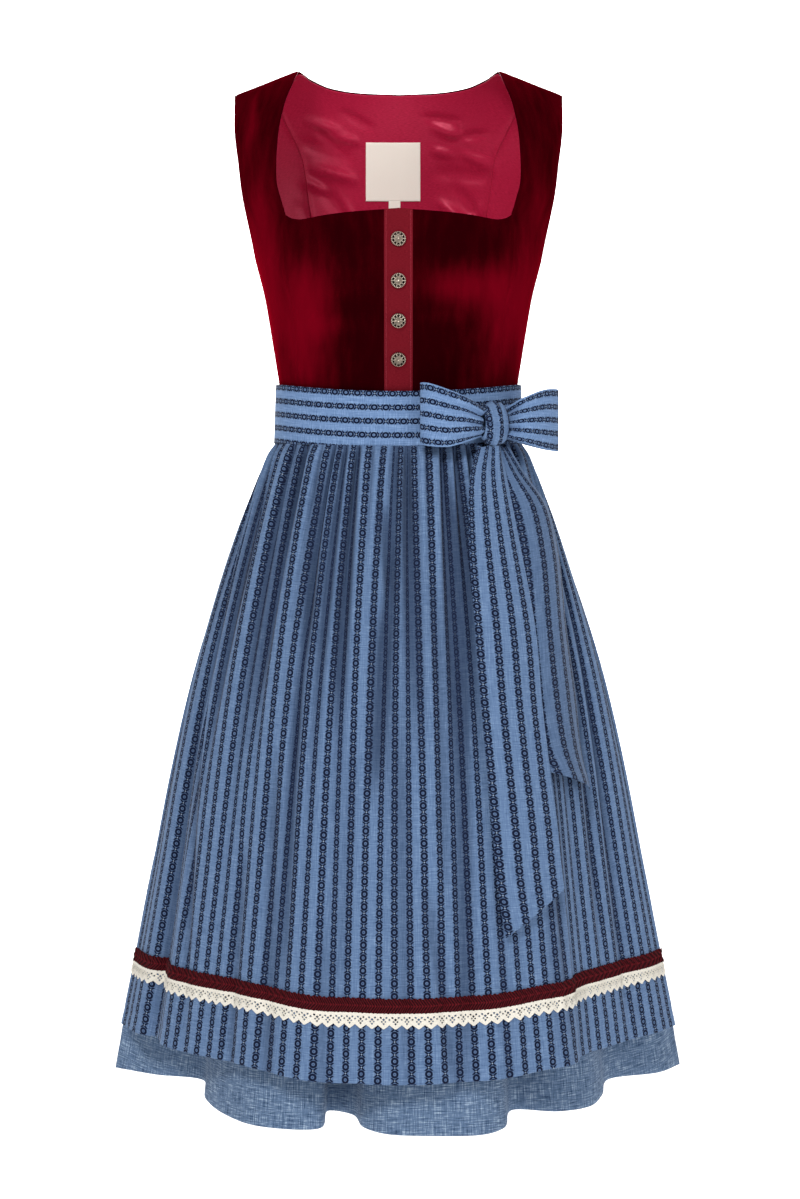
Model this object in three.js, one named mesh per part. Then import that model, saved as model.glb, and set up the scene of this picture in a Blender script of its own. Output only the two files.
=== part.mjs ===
// A dirndl, size 34, filled out as it is worn: a sleeveless velvet bodice with a buttoned
// placket and a lined back, a gathered skirt, and a striped apron whose band ties in a bow.
// Millimetres. +Z is up, -Y is the front and +X is the wearer's left. The origin lies between
// the two points where the shoulder seams meet the neckline. A drop is a distance below it.
// Every piece of cloth is a thin wall, and neighbouring pieces stay a seam gap apart.

import * as THREE from 'three';

// Thickness of each cloth, and the gaps between pieces.
const VELVET = 1.5;
const LINING = 1;
const COTTON = 1.6;
const CHAMBRAY = 1.2;
const APRON_CLOTH = 1;
const BAND_CLOTH = 1.5;
const BOW_CLOTH = 1.2;
const TRIM_CLOTH = 1.2;
const SEAM_GAP = 0.3;
const LAYER_GAP = 0.3;
const SEAM_ALLOWANCE = 0.02;

// Heights of the garment, and the slopes and curves of its shoulders.
const UNDERARM_DROP = 200;
const WAIST_SEAM_DROP = 345;
const SHOULDER_Y = 4;
const NECK_POINT_X = 100.5;
const SHOULDER_SLOPE = 0.39;
const NECK_SLOPE = 0.4;
const CHEST_CURVE = 1.7;
const UPPER_BACK_CURVE = 2.5;

// The bodice in level sections: half width, depth of the front and the back, and squareness.
const BODICE_SECTIONS = [
  { drop: 0, width: 166, front: 118, back: 100, square: 2.5 },
  { drop: 40, width: 167.5, front: 118, back: 100, square: 2.5 },
  { drop: 94, width: 163.5, front: 118, back: 100, square: 2.5 },
  { drop: 126, width: 159.5, front: 118, back: 100, square: 2.5 },
  { drop: 151, width: 153.5, front: 118, back: 100, square: 2.55 },
  { drop: 175, width: 147, front: 118, back: 100, square: 2.6 },
  { drop: 200, width: 140.5, front: 118, back: 100, square: 2.6 },
  { drop: 230, width: 133, front: 116, back: 98, square: 2.6 },
  { drop: 265, width: 127, front: 106, back: 93, square: 2.45 },
  { drop: 290, width: 123, front: 96, back: 88, square: 2.3 },
  { drop: 316, width: 119, front: 87, back: 84.5, square: 2.15 },
  { drop: 345, width: 116, front: 83, back: 83, square: 2.1 },
];

// Edges and seams of the pattern. x is the distance from the centre line.
const FRONT_NECK_SIDE = [
  { drop: 0, x: 100.5 },
  { drop: 14.5, x: 105 },
  { drop: 38, x: 113 },
  { drop: 74, x: 118.5 },
  { drop: 103, x: 119.5 },
  { drop: 118, x: 119 },
  { drop: 138, x: 114.5 },
  { drop: 156, x: 109.3 },
];
const FRONT_NECK_FOOT = [
  { x: 0, drop: 161 },
  { x: 47, drop: 160.4 },
  { x: 70, drop: 161 },
  { x: 93.5, drop: 162.5 },
  { x: 102, drop: 160.6 },
  { x: 109.3, drop: 156 },
];
const FRONT_PRINCESS_SEAM = [
  { drop: 156, x: 109.3 },
  { drop: 170, x: 111.5 },
  { drop: 209, x: 111.5 },
  { drop: 238, x: 104 },
  { drop: 271, x: 100 },
  { drop: 318, x: 97.3 },
  { drop: 345, x: 96 },
];
const BACK_NECK = [
  { x: 0, drop: 43.8 },
  { x: 41, drop: 31.8 },
  { x: 70, drop: 19.8 },
  { x: 89, drop: 7.6 },
  { x: 100.5, drop: 0 },
  { x: 131, drop: 0 },
];
const BACK_PRINCESS_SEAM = [
  { drop: 0, x: 131 },
  { drop: 34, x: 118.5 },
  { drop: 82, x: 100 },
  { drop: 119, x: 95 },
  { drop: 160, x: 88 },
  { drop: 200, x: 80 },
  { drop: 240, x: 72 },
  { drop: 280, x: 66 },
  { drop: 316, x: 62 },
  { drop: 345, x: 60 },
];
// The armhole's edge, in degrees round the body from the centre front or the centre back.
const ARMHOLE = [
  { drop: 0, front: 80, back: 80 },
  { drop: 40, front: 76, back: 76 },
  { drop: 94, front: 73, back: 75 },
  { drop: 126, front: 73, back: 76 },
  { drop: 151, front: 75, back: 78 },
  { drop: 175, front: 79, back: 82 },
  { drop: 190, front: 84, back: 86 },
  { drop: 200, front: 90, back: 90 },
];
// Rows of the bodice pieces: their drop on the inner seam and on the armhole or side seam.
const BODICE_ROWS = [
  { inner: 0, outer: 0 },
  { inner: 10, outer: 12 },
  { inner: 30, outer: 34 },
  { inner: 60, outer: 70 },
  { inner: 95, outer: 108 },
  { inner: 128, outer: 142 },
  { inner: 156, outer: 166 },
  { inner: 178, outer: 184 },
  { inner: 200, outer: 200 },
  { inner: 232, outer: 232 },
  { inner: 266, outer: 266 },
  { inner: 300, outer: 300 },
  { inner: 345, outer: 345 },
];
const NECK_FOOT_ROW = 6;
const PANEL_COLUMNS = { frontCentre: 6, sideFront: 5, backCentre: 12, sideBack: 4 };

// The placket with its four buttons, and the label inside the back.
const PLACKET_HALF_WIDTH = 13;
const PLACKET_PROUD = 0.6;
const BUTTON_DROPS = [182.4, 221.7, 258.6, 294.7];
const BUTTON_RADIUS = 7.3;
const BUTTON_SIDES = 14;
const BUTTON_CROWN = 4.1;
const BUTTON_SHANK = 0.25;
const BUTTON_PROFILE = [
  { radius: 0.8, height: 0 },
  { radius: 0.98, height: 0.5 },
  { radius: 1, height: 1.3 },
  { radius: 0.86, height: 1.9 },
  { radius: 0.6, height: 3.2 },
  { radius: 0.3, height: 3.9 },
];
// The label stands off the lining's curve, which its flat facets cut across.
const LABEL_STAND = 0.9;
const LABEL = { left: -34, right: 22.5, top: 59, bottom: 118.6, columns: 3, rows: 3 };
const SIZE_TAB = { left: -10, right: 1.6, top: 119.2, bottom: 127, columns: 1, rows: 1 };

// The apron's band: a level ring whose front dips, with its own size at each edge.
const BAND_TOP = { drop: 316, dip: 10, width: 121.2, depth: 89.6, back: 86.8 };
const BAND_FOOT = { drop: 373, dip: 5, width: 123, depth: 89.6, back: 89.6 };
const BAND_SQUARE = 2.12;
const BAND_HALF_COLUMNS = 18;
const BAND_SEAM = 2.4 * SEAM_GAP;
const BAND_ROWS = 3;

// How the skirt and the apron widen: the share of the way from the waist to the hem's outline,
// and the height of the gathers, in front and behind.
const SKIRT_FLARE = [
  { drop: 345, share: 0, front: 0.5, back: 0.8 },
  { drop: 375, share: 0.01, front: 0.6, back: 1 },
  { drop: 402, share: 0.065, front: 0.6, back: 4 },
  { drop: 445, share: 0.16, front: 0.6, back: 3.4 },
  { drop: 500, share: 0.275, front: 0.3, back: 1.6 },
  { drop: 575, share: 0.425, front: 0, back: 0.5 },
  { drop: 680, share: 0.6, front: 0, back: 0 },
  { drop: 790, share: 0.77, front: 0, back: 0 },
  { drop: 890, share: 0.885, front: 0, back: 0 },
  { drop: 1000, share: 1, front: 0, back: 0 },
];
const APRON_FLARE = [
  { drop: 373.3, share: 0, gather: 1.2 },
  { drop: 392, share: 0.07, gather: 3.6 },
  { drop: 422, share: 0.165, gather: 3.6 },
  { drop: 470, share: 0.29, gather: 2 },
  { drop: 535, share: 0.43, gather: 0.9 },
  { drop: 615, share: 0.575, gather: 0.3 },
  { drop: 705, share: 0.7, gather: 0 },
  { drop: 795, share: 0.805, gather: 0 },
  { drop: 884, share: 0.91, gather: 0 },
  { drop: 895.5, share: 0.924, gather: 0 },
  { drop: 908, share: 0.94, gather: 0 },
  { drop: 957, share: 1, gather: 0 },
];
const BRAID_ROW = 8;
const LACE_ROW = 9;
// How far each hem lies above its row's drop, near and far from a line: the skirt's line runs
// between its side seams, and the apron's, whose trims rise with it, down its centre.
const SKIRT_HEM_RISE = { near: 3, far: -6, from: 0, to: 215 };
const APRON_HEM_RISE = { near: 1.5, far: 8.5, from: 50, to: 150 };

// The hems seen from above, from the wearer's right round the front to the left: each row is
// a crest, a flank or a valley of a fold.
const SKIRT_FRONT_HEM = [
  { x: -282, y: 0 },
  { x: -240, y: -26 },
  { x: -192, y: -44 },
  { x: -183, y: -104 },
  { x: -161, y: -150 },
  { x: -128, y: -184 },
  { x: -74, y: -192 },
  { x: -66, y: -138 },
  { x: -42, y: -150 },
  { x: -31, y: -188 },
  { x: -10, y: -209 },
  { x: 31, y: -215 },
  { x: 76, y: -211 },
  { x: 96, y: -190 },
  { x: 107, y: -136 },
  { x: 150, y: -140 },
  { x: 180, y: -126 },
  { x: 194, y: -94 },
  { x: 206, y: -42 },
  { x: 258, y: -18 },
  { x: 282, y: 14 },
];
const SKIRT_BACK_HEM = [
  { x: 282, y: 14 },
  { x: 276, y: 52 },
  { x: 234, y: 64 },
  { x: 226, y: 112 },
  { x: 196, y: 160 },
  { x: 156, y: 174 },
  { x: 124, y: 138 },
  { x: 98, y: 150 },
  { x: 88, y: 206 },
  { x: 52, y: 236 },
  { x: 8, y: 238 },
  { x: -16, y: 200 },
  { x: -30, y: 152 },
  { x: -62, y: 148 },
  { x: -84, y: 208 },
  { x: -124, y: 222 },
  { x: -160, y: 190 },
  { x: -168, y: 134 },
  { x: -206, y: 126 },
  { x: -240, y: 100 },
  { x: -246, y: 54 },
  { x: -278, y: 34 },
  { x: -282, y: 0 },
];
const APRON_HEM = [
  { x: -271, y: -22 },
  { x: -248, y: -66 },
  { x: -231, y: -76 },
  { x: -222, y: -110 },
  { x: -196, y: -140 },
  { x: -162, y: -168 },
  { x: -122, y: -203 },
  { x: -80, y: -224 },
  { x: -46, y: -225 },
  { x: -12, y: -232 },
  { x: 24, y: -231 },
  { x: 58, y: -222 },
  { x: 98, y: -221 },
  { x: 130, y: -204 },
  { x: 157, y: -188 },
  { x: 171, y: -148 },
  { x: 198, y: -115 },
  { x: 226, y: -82 },
  { x: 252, y: -55 },
  { x: 270, y: -28 },
];
const SKIRT_WAIST = { width: 116, depth: 83 };
const APRON_WAIST = { width: 121.6, depth: 88.6 };
const APRON_REACH = 112;
const SKIRT_FRONT_GATHERS = 24;
const SKIRT_BACK_GATHERS = 34;
const APRON_GATHERS = 30;
// The share of the back, at each side, where the apron presses the skirt's gathers flat.
const FLAT_SIDE = { from: 0.14, to: 0.24 };

// The lace's scalloped edge: how far down its band each half scallop reaches.
const SCALLOP = [0.72, 1];

// The bow on the wearer's left front. Its knot is a wound lump of cloth, square to the band.
const KNOT = { x: 85.4, y: -68.2, drop: 356.5, wide: 28, deep: 23, high: 44, turn: 34.5 };
const KNOT_SIDES = { round: 18, high: 12 };
// Each loop's strip, from the knot along its front, round its fold and back to the knot.
const LOOP_LEFT = [
  { x: 106, y: -72.2, top: 342, foot: 369 },
  { x: 121, y: -83, top: 332, foot: 375 },
  { x: 139, y: -70, top: 324, foot: 380 },
  { x: 151, y: -54, top: 322, foot: 382 },
  { x: 155, y: -43, top: 322.5, foot: 382 },
  { x: 149, y: -38, top: 324, foot: 381 },
  { x: 134, y: -46, top: 328, foot: 378 },
  { x: 118, y: -56, top: 334, foot: 374 },
  { x: 102.2, y: -65.4, top: 343, foot: 368 },
];
const LOOP_RIGHT = [
  { x: 82, y: -87.8, top: 342, foot: 369 },
  { x: 67, y: -103, top: 333, foot: 374 },
  { x: 47, y: -112, top: 325, foot: 379 },
  { x: 28, y: -112, top: 319, foot: 378 },
  { x: 20, y: -104, top: 318.5, foot: 376 },
  { x: 26, y: -96.5, top: 320, foot: 375 },
  { x: 46, y: -92.8, top: 326, foot: 375 },
  { x: 63, y: -87, top: 335, foot: 371 },
  { x: 78.4, y: -80.6, top: 343, foot: 368 },
];
const LOOP_COLUMNS = 18;
const LOOP_ROWS = 3;
// Each tail from the knot to its slanted end, by its two long edges.
const TAIL_FRONT = [
  { leftDrop: 379, leftX: 77, leftY: -86, rightDrop: 379, rightX: 99, rightY: -73, crown: 3 },
  { leftDrop: 408, leftX: 69, leftY: -103, rightDrop: 408, rightX: 104, rightY: -86, crown: 3 },
  { leftDrop: 459, leftX: 67, leftY: -127, rightDrop: 459, rightX: 113, rightY: -102, crown: 4 },
  { leftDrop: 553, leftX: 72, leftY: -156, rightDrop: 553, rightX: 129, rightY: -127, crown: 5 },
  { leftDrop: 621, leftX: 77, leftY: -173, rightDrop: 621, rightX: 134, rightY: -145, crown: 5 },
  { leftDrop: 677, leftX: 82, leftY: -183, rightDrop: 677, rightX: 140, rightY: -155, crown: 5 },
  { leftDrop: 738, leftX: 87, leftY: -194, rightDrop: 734, rightX: 147, rightY: -163, crown: 5 },
  { leftDrop: 790, leftX: 92, leftY: -201, rightDrop: 766, rightX: 150, rightY: -167, crown: 4 },
  { leftDrop: 828, leftX: 98, leftY: -207, rightDrop: 790, rightX: 153, rightY: -170, crown: 3 },
];
const TAIL_BACK = [
  { leftDrop: 379.5, leftX: 92, leftY: -72, rightDrop: 379.5, rightX: 107, rightY: -61, crown: 3 },
  { leftDrop: 405, leftX: 98, leftY: -83.5, rightDrop: 405, rightX: 123, rightY: -60, crown: 6 },
  { leftDrop: 439, leftX: 106, leftY: -94.5, rightDrop: 439, rightX: 146, rightY: -42, crown: 12 },
  { leftDrop: 483, leftX: 114, leftY: -109, rightDrop: 483, rightX: 156, rightY: -49, crown: 11 },
  { leftDrop: 554, leftX: 120, leftY: -127, rightDrop: 554, rightX: 162, rightY: -69, crown: 10 },
  { leftDrop: 618, leftX: 125, leftY: -143, rightDrop: 618, rightX: 170, rightY: -82, crown: 10 },
  { leftDrop: 660, leftX: 131, leftY: -150, rightDrop: 672, rightX: 175, rightY: -88, crown: 12 },
  { leftDrop: 684, leftX: 142, leftY: -152, rightDrop: 708, rightX: 183, rightY: -90, crown: 12 },
];
const TAIL_COLUMNS = 4;
const TAIL_ROWS = 14;

function radians(degrees) {
  return THREE.MathUtils.degToRad(degrees);
}

// The smooth value of one column of a table at a key: a cubic through the rows.
function tableValue(table, key, value, column) {
  const last = table.length - 1;
  const clamped = Math.min(Math.max(value, table[0][key]), table[last][key]);
  let i = 0;
  while (i < last - 1 && clamped > table[i + 1][key]) {
    i += 1;
  }
  const slope = (a, b) => (table[b][column] - table[a][column]) / (table[b][key] - table[a][key]);
  const span = table[i + 1][key] - table[i][key];
  const here = slope(i, i + 1);
  const before = i > 0 ? slope(i - 1, i) : here;
  const after = i < last - 1 ? slope(i + 1, i + 2) : here;
  const start = before * here > 0 ? (2 * before * here) / (before + here) : 0;
  const end = after * here > 0 ? (2 * after * here) / (after + here) : 0;
  const t = (clamped - table[i][key]) / span;
  const rise = table[i + 1][column] - table[i][column];
  const entry = t * (1 - t) * (1 - t) * start * span;
  const exit = t * t * (t - 1) * end * span;
  return table[i][column] + rise * t * t * (3 - 2 * t) + entry + exit;
}

// A point of the bodice's outer face. face is -1 in front and 1 behind, side is -1 or 1, and
// the angle runs from the centre line to the side seam.
function bodicePoint(face, side, angle, drop) {
  const square = tableValue(BODICE_SECTIONS, 'drop', drop, 'square');
  const width = tableValue(BODICE_SECTIONS, 'drop', drop, 'width');
  const depth = tableValue(BODICE_SECTIONS, 'drop', drop, face < 0 ? 'front' : 'back');
  const curve = face < 0 ? CHEST_CURVE : UPPER_BACK_CURVE;
  const fall = Math.min(drop / UNDERARM_DROP, 1);
  const reach = (1 - (1 - fall) ** curve) ** (1 / curve);
  const x = width * Math.abs(Math.sin(angle)) ** (2 / square);
  const y = depth * Math.abs(Math.cos(angle)) ** (2 / square);
  const beyond = x - NECK_POINT_X;
  const ridge = -beyond * (beyond > 0 ? SHOULDER_SLOPE : NECK_SLOPE);
  const z = ridge * (1 - fall) - drop;
  return new THREE.Vector3(side * x, SHOULDER_Y * (1 - reach) + face * y * reach, z);
}

// The angle at which the bodice's section lies a given distance from the centre line.
function angleAt(x, drop) {
  const width = tableValue(BODICE_SECTIONS, 'drop', drop, 'width');
  const square = tableValue(BODICE_SECTIONS, 'drop', drop, 'square');
  return Math.asin(Math.min(Math.abs(x) / width, 1) ** (square / 2));
}

// The outward direction of the bodice's face, from two small steps on it.
function bodiceNormal(face, side, angle, drop) {
  const turn = 0.002;
  const step = 0.25;
  const low = Math.max(angle - turn, turn / 20);
  const high = Math.min(angle + turn, Math.PI / 2);
  const across = bodicePoint(face, 1, high, drop).sub(bodicePoint(face, 1, low, drop));
  const above = bodicePoint(face, 1, angle, Math.max(drop - step, 0));
  const down = bodicePoint(face, 1, angle, drop + step).sub(above);
  const normal = across.cross(down).multiplyScalar(face).normalize();
  if (drop === 0) {
    normal.y = 0;
    normal.normalize();
  }
  return new THREE.Vector3(side * normal.x, normal.y, normal.z);
}

// A sheet is a grid of rows of { point, normal }. It is the outer face of the bodice's cloth,
// and the inner face of every cloth that hangs or ties, whose wall lies outside it.
function bodiceNode(face, side, angle, drop) {
  const clamped = Math.min(angle, Math.PI / 2);
  return {
    point: bodicePoint(face, side, clamped, drop),
    normal: bodiceNormal(face, side, clamped, drop),
  };
}

function mix(a, b, t) {
  return a + (b - a) * t;
}

// Half of the centre front, from the placket's edge to the princess seam.
function frontCentreSheet(side) {
  const columns = PANEL_COLUMNS.frontCentre;
  const top = BODICE_ROWS[NECK_FOOT_ROW].inner;
  return BODICE_ROWS.slice(NECK_FOOT_ROW).map((row) => {
    const fall = (row.inner - top) / (WAIST_SEAM_DROP - top);
    const seamX = tableValue(FRONT_PRINCESS_SEAM, 'drop', row.inner, 'x');
    return Array.from({ length: columns + 1 }, (_, column) => {
      const share = column / columns;
      const topX = mix(PLACKET_HALF_WIDTH + SEAM_GAP / 2, FRONT_PRINCESS_SEAM[0].x, share);
      const neckDrop = tableValue(FRONT_NECK_FOOT, 'x', topX, 'drop');
      const drop = mix(neckDrop, WAIST_SEAM_DROP, fall);
      const x = mix(PLACKET_HALF_WIDTH + SEAM_GAP / 2, seamX, share);
      return bodiceNode(-1, side, angleAt(x, drop), drop);
    });
  });
}

// The placket between the two centre fronts.
function placketSheet() {
  const top = tableValue(FRONT_NECK_FOOT, 'x', PLACKET_HALF_WIDTH, 'drop');
  const first = BODICE_ROWS[NECK_FOOT_ROW].inner;
  return BODICE_ROWS.slice(NECK_FOOT_ROW).map((row) => {
    const drop = mix(top, WAIST_SEAM_DROP, (row.inner - first) / (WAIST_SEAM_DROP - first));
    return [-1, 0, 1].map((share) => {
      const angle = angleAt(share * PLACKET_HALF_WIDTH, drop);
      return bodiceNode(-1, share < 0 ? -1 : 1, angle, drop);
    });
  });
}

// A side panel, from the inner seam to the armhole and the side seam below it.
function sidePanelSheet(face, side) {
  const columns = face < 0 ? PANEL_COLUMNS.sideFront : PANEL_COLUMNS.sideBack;
  const edge = face < 0 ? 'front' : 'back';
  return BODICE_ROWS.map((row) => {
    let innerX = tableValue(BACK_PRINCESS_SEAM, 'drop', row.inner, 'x');
    if (face < 0) {
      const inStrap = row.inner < FRONT_PRINCESS_SEAM[0].drop;
      const table = inStrap ? FRONT_NECK_SIDE : FRONT_PRINCESS_SEAM;
      innerX = tableValue(table, 'drop', row.inner, 'x');
    }
    const inner = angleAt(innerX, row.inner);
    const outer = radians(tableValue(ARMHOLE, 'drop', row.outer, edge));
    return Array.from({ length: columns + 1 }, (_, column) => {
      const share = column / columns;
      return bodiceNode(face, side, mix(inner, outer, share), mix(row.inner, row.outer, share));
    });
  });
}

// The centre back, from one princess seam to the other, below the neck and half of each
// shoulder.
function backCentreSheet() {
  const half = PANEL_COLUMNS.backCentre / 2;
  return BODICE_ROWS.map((row) => {
    const seamX = tableValue(BACK_PRINCESS_SEAM, 'drop', row.inner, 'x');
    return Array.from({ length: 2 * half + 1 }, (_, column) => {
      const share = Math.abs(column - half) / half;
      const neckDrop = tableValue(BACK_NECK, 'x', share * BACK_PRINCESS_SEAM[0].x, 'drop');
      const drop = mix(neckDrop, WAIST_SEAM_DROP, row.inner / WAIST_SEAM_DROP);
      const side = column < half ? -1 : 1;
      return bodiceNode(1, side, angleAt(share * seamX, drop), drop);
    });
  });
}

// A small rectangle that lies on the inside of the back.
function backPatchSheet(patch) {
  return Array.from({ length: patch.rows + 1 }, (_, row) => {
    const height = mix(patch.top, patch.bottom, row / patch.rows);
    return Array.from({ length: patch.columns + 1 }, (_, column) => {
      const x = mix(patch.left, patch.right, column / patch.columns);
      const ridge = (NECK_POINT_X - Math.abs(x)) * NECK_SLOPE;
      const drop = (height + ridge) / (1 + ridge / UNDERARM_DROP);
      return bodiceNode(1, x < 0 ? -1 : 1, angleAt(x, drop), drop);
    });
  });
}

// An open smooth curve through the rows of an outline.
function outlineCurve(rows) {
  const points = rows.map((row) => new THREE.Vector3(row.x, row.y, 0));
  return new THREE.CatmullRomCurve3(points, false, 'centripetal');
}

// A point of the waist ring, at an angle from the centre front.
function ringPoint(width, front, back, square, angle) {
  const sine = Math.sin(angle);
  const cosine = Math.cos(angle);
  const x = Math.sign(sine) * width * Math.abs(sine) ** (2 / square);
  const depth = cosine > 0 ? -front : back;
  return new THREE.Vector3(x, depth * Math.abs(cosine) ** (2 / square), 0);
}

// Gives each point of a grid its outward direction, from its neighbours in both directions.
// In a closed grid the last column repeats the first.
function withNormals(grid, closed) {
  const rows = grid.length;
  const last = grid[0].length - 1;
  return grid.map((row, i) => row.map((point, j) => {
    const up = grid[Math.max(i - 1, 0)][j];
    const down = grid[Math.min(i + 1, rows - 1)][j];
    const left = closed && j === 0 ? row[last - 1] : row[Math.max(j - 1, 0)];
    const right = closed && j === last ? row[1] : row[Math.min(j + 1, last)];
    const fall = down.clone().sub(up);
    const normal = fall.cross(right.clone().sub(left)).normalize();
    return { point, normal };
  }));
}

// How far a hem lies above its row's drop, at a distance from the line its rise is counted from.
function hemRise(rise, distance) {
  return mix(rise.near, rise.far, THREE.MathUtils.smoothstep(distance, rise.from, rise.to));
}

// A gathered sheet that hangs from the waist ring to a hem's outline.
function hangingGrid(hem, flare, gatherColumn, waistPoint, gathers, topDrop, depthAt, riseAt) {
  const curve = outlineCurve(hem);
  const columns = 2 * gathers;
  const feet = curve.getSpacedPoints(columns);
  return flare.map((level) => feet.map((foot, column) => {
    const waist = waistPoint(column / columns, foot);
    const point = waist.clone().lerp(foot, level.share);
    const outward = point.clone().normalize();
    const raised = column % 2 ? level[gatherColumn] : 0;
    point.addScaledVector(outward, raised * depthAt(column / columns));
    point.z = level.share === 0 ? -topDrop(point) : level.share * riseAt(foot) - level.drop;
    return point;
  }));
}

// The skirt's half in front or behind, gathered evenly on the waist.
function skirtHalfGrid(face) {
  const hem = face < 0 ? SKIRT_FRONT_HEM : SKIRT_BACK_HEM;
  const waistPoint = (share) => {
    const start = face < 0 ? -Math.PI / 2 : Math.PI / 2;
    const angle = start + Math.PI * share;
    const { width, depth } = SKIRT_WAIST;
    return ringPoint(width, depth, depth, BAND_SQUARE, angle);
  };
  const gathers = face < 0 ? SKIRT_FRONT_GATHERS : SKIRT_BACK_GATHERS;
  const topDrop = () => WAIST_SEAM_DROP + SEAM_GAP;
  const gatherColumn = face < 0 ? 'front' : 'back';
  const depthAt = (share) => {
    const edge = Math.min(share, 1 - share);
    return face < 0 ? 1 : THREE.MathUtils.smoothstep(edge, FLAT_SIDE.from, FLAT_SIDE.to);
  };
  const riseAt = (foot) => hemRise(SKIRT_HEM_RISE, -foot.y);
  return hangingGrid(hem, SKIRT_FLARE, gatherColumn, waistPoint, gathers, topDrop, depthAt, riseAt);
}

// The whole skirt, round the front from the wearer's right and then round the back.
function skirtSheet() {
  const back = skirtHalfGrid(1);
  return withNormals(skirtHalfGrid(-1).map((row, i) => row.concat(back[i].slice(1))), true);
}

// How far the band's foot dips below its sides, at a distance in front of the side seams.
function bandDip(dip, y, depth) {
  return y < 0 ? dip * Math.min(-y / depth, 1) ** 2 : 0;
}

function apronSheet() {
  const reach = radians(APRON_REACH);
  const waistPoint = (share) => {
    const angle = mix(-reach, reach, share);
    return ringPoint(APRON_WAIST.width, APRON_WAIST.depth, APRON_WAIST.depth, BAND_SQUARE, angle);
  };
  const topDrop = (point) => {
    const dip = bandDip(BAND_FOOT.dip, point.y, APRON_WAIST.depth);
    return BAND_FOOT.drop + dip + BAND_SEAM;
  };
  const depthAt = () => 1;
  const riseAt = (foot) => hemRise(APRON_HEM_RISE, Math.abs(foot.x));
  const gathers = APRON_GATHERS;
  const grid = hangingGrid(APRON_HEM, APRON_FLARE, 'gather', waistPoint, gathers, topDrop, depthAt, riseAt);
  return withNormals(grid, false);
}

// A run of the waistband, between two angles from the centre front.
function bandSheet(from, to) {
  const grid = Array.from({ length: BAND_ROWS + 1 }, (_, row) => {
    const share = row / BAND_ROWS;
    const width = mix(BAND_TOP.width, BAND_FOOT.width, share);
    const front = mix(BAND_TOP.depth, BAND_FOOT.depth, share);
    const back = mix(BAND_TOP.back, BAND_FOOT.back, share);
    return Array.from({ length: BAND_HALF_COLUMNS + 1 }, (_, column) => {
      const angle = mix(from, to, column / BAND_HALF_COLUMNS);
      const point = ringPoint(width, front, back, BAND_SQUARE, angle);
      const top = BAND_TOP.drop + bandDip(BAND_TOP.dip, point.y, front);
      const foot = BAND_FOOT.drop + bandDip(BAND_FOOT.dip, point.y, front);
      point.z = -mix(top, foot, share);
      return point;
    });
  });
  return withNormals(grid, false);
}

// A strip that stands on edge along a path seen from above.
function loopSheet(path) {
  const edge = (column) => {
    const points = path.map((row) => new THREE.Vector3(row.x, row.y, -row[column]));
    return new THREE.CatmullRomCurve3(points, false, 'centripetal').getPoints(LOOP_COLUMNS);
  };
  const top = edge('top');
  const foot = edge('foot');
  const grid = Array.from({ length: LOOP_ROWS + 1 }, (_, row) => (
    top.map((point, column) => point.clone().lerp(foot[column], row / LOOP_ROWS))
  ));
  return withNormals(grid, false);
}

// A hanging strip between its two long edges, a little crowned across.
function tailSheet(rows) {
  const edge = (side) => {
    const points = rows.map((row) => (
      new THREE.Vector3(row[`${side}X`], row[`${side}Y`], -row[`${side}Drop`])
    ));
    return new THREE.CatmullRomCurve3(points, false, 'centripetal').getPoints(TAIL_ROWS);
  };
  const left = edge('left');
  const right = edge('right');
  const crowns = rows.map((row, index) => ({ index, crown: row.crown }));
  const grid = left.map((point, row) => Array.from({ length: TAIL_COLUMNS + 1 }, (_, column) => {
    const share = column / TAIL_COLUMNS;
    const node = point.clone().lerp(right[row], share);
    const crown = tableValue(crowns, 'index', (row / TAIL_ROWS) * (rows.length - 1), 'crown');
    const across = right[row].clone().sub(point).normalize();
    node.x += 4 * crown * share * (1 - share) * across.y;
    node.y -= 4 * crown * share * (1 - share) * across.x;
    return node;
  }));
  return withNormals(grid, false);
}

// Part of a sheet, between two rows and two columns.
function cutSheet(sheet, firstRow, lastRow, firstColumn, lastColumn) {
  const rows = sheet.slice(firstRow, lastRow + 1);
  return rows.map((row) => row.slice(firstColumn, lastColumn + 1).map((node) => ({
    point: node.point.clone(),
    normal: node.normal.clone(),
  })));
}

// Moves chosen edges of a sheet in by half a seam gap. Edges are top, foot, first and last.
function trimSeams(sheet, edges) {
  const rows = sheet.length;
  const columns = sheet[0].length;
  const pull = (node, neighbour) => {
    const step = neighbour.point.clone().sub(node.point).normalize();
    return node.point.clone().addScaledVector(step, SEAM_GAP / 2 + SEAM_ALLOWANCE);
  };
  const moved = sheet.map((row) => row.map((node) => ({ point: node.point.clone(), normal: node.normal })));
  for (let i = 0; i < rows; i += 1) {
    if (edges.includes('first')) {
      moved[i][0].point = pull(moved[i][0], sheet[i][1]);
    }
    if (edges.includes('last')) {
      moved[i][columns - 1].point = pull(moved[i][columns - 1], sheet[i][columns - 2]);
    }
  }
  for (let j = 0; j < columns; j += 1) {
    if (edges.includes('top')) {
      moved[0][j].point = pull(moved[0][j], moved[1][j]);
    }
    if (edges.includes('foot')) {
      moved[rows - 1][j].point = pull(moved[rows - 1][j], moved[rows - 2][j]);
    }
  }
  return moved;
}

// Draws the side seam's edge back, below the armhole alone.
function trimSideSeam(sheet) {
  const last = sheet[0].length - 1;
  for (let i = 0; i < sheet.length; i += 1) {
    if (BODICE_ROWS[i].outer >= UNDERARM_DROP) {
      const step = sheet[i][last - 1].point.clone().sub(sheet[i][last].point).normalize();
      sheet[i][last].point.addScaledVector(step, SEAM_GAP / 2 + SEAM_ALLOWANCE);
    }
  }
}

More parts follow.
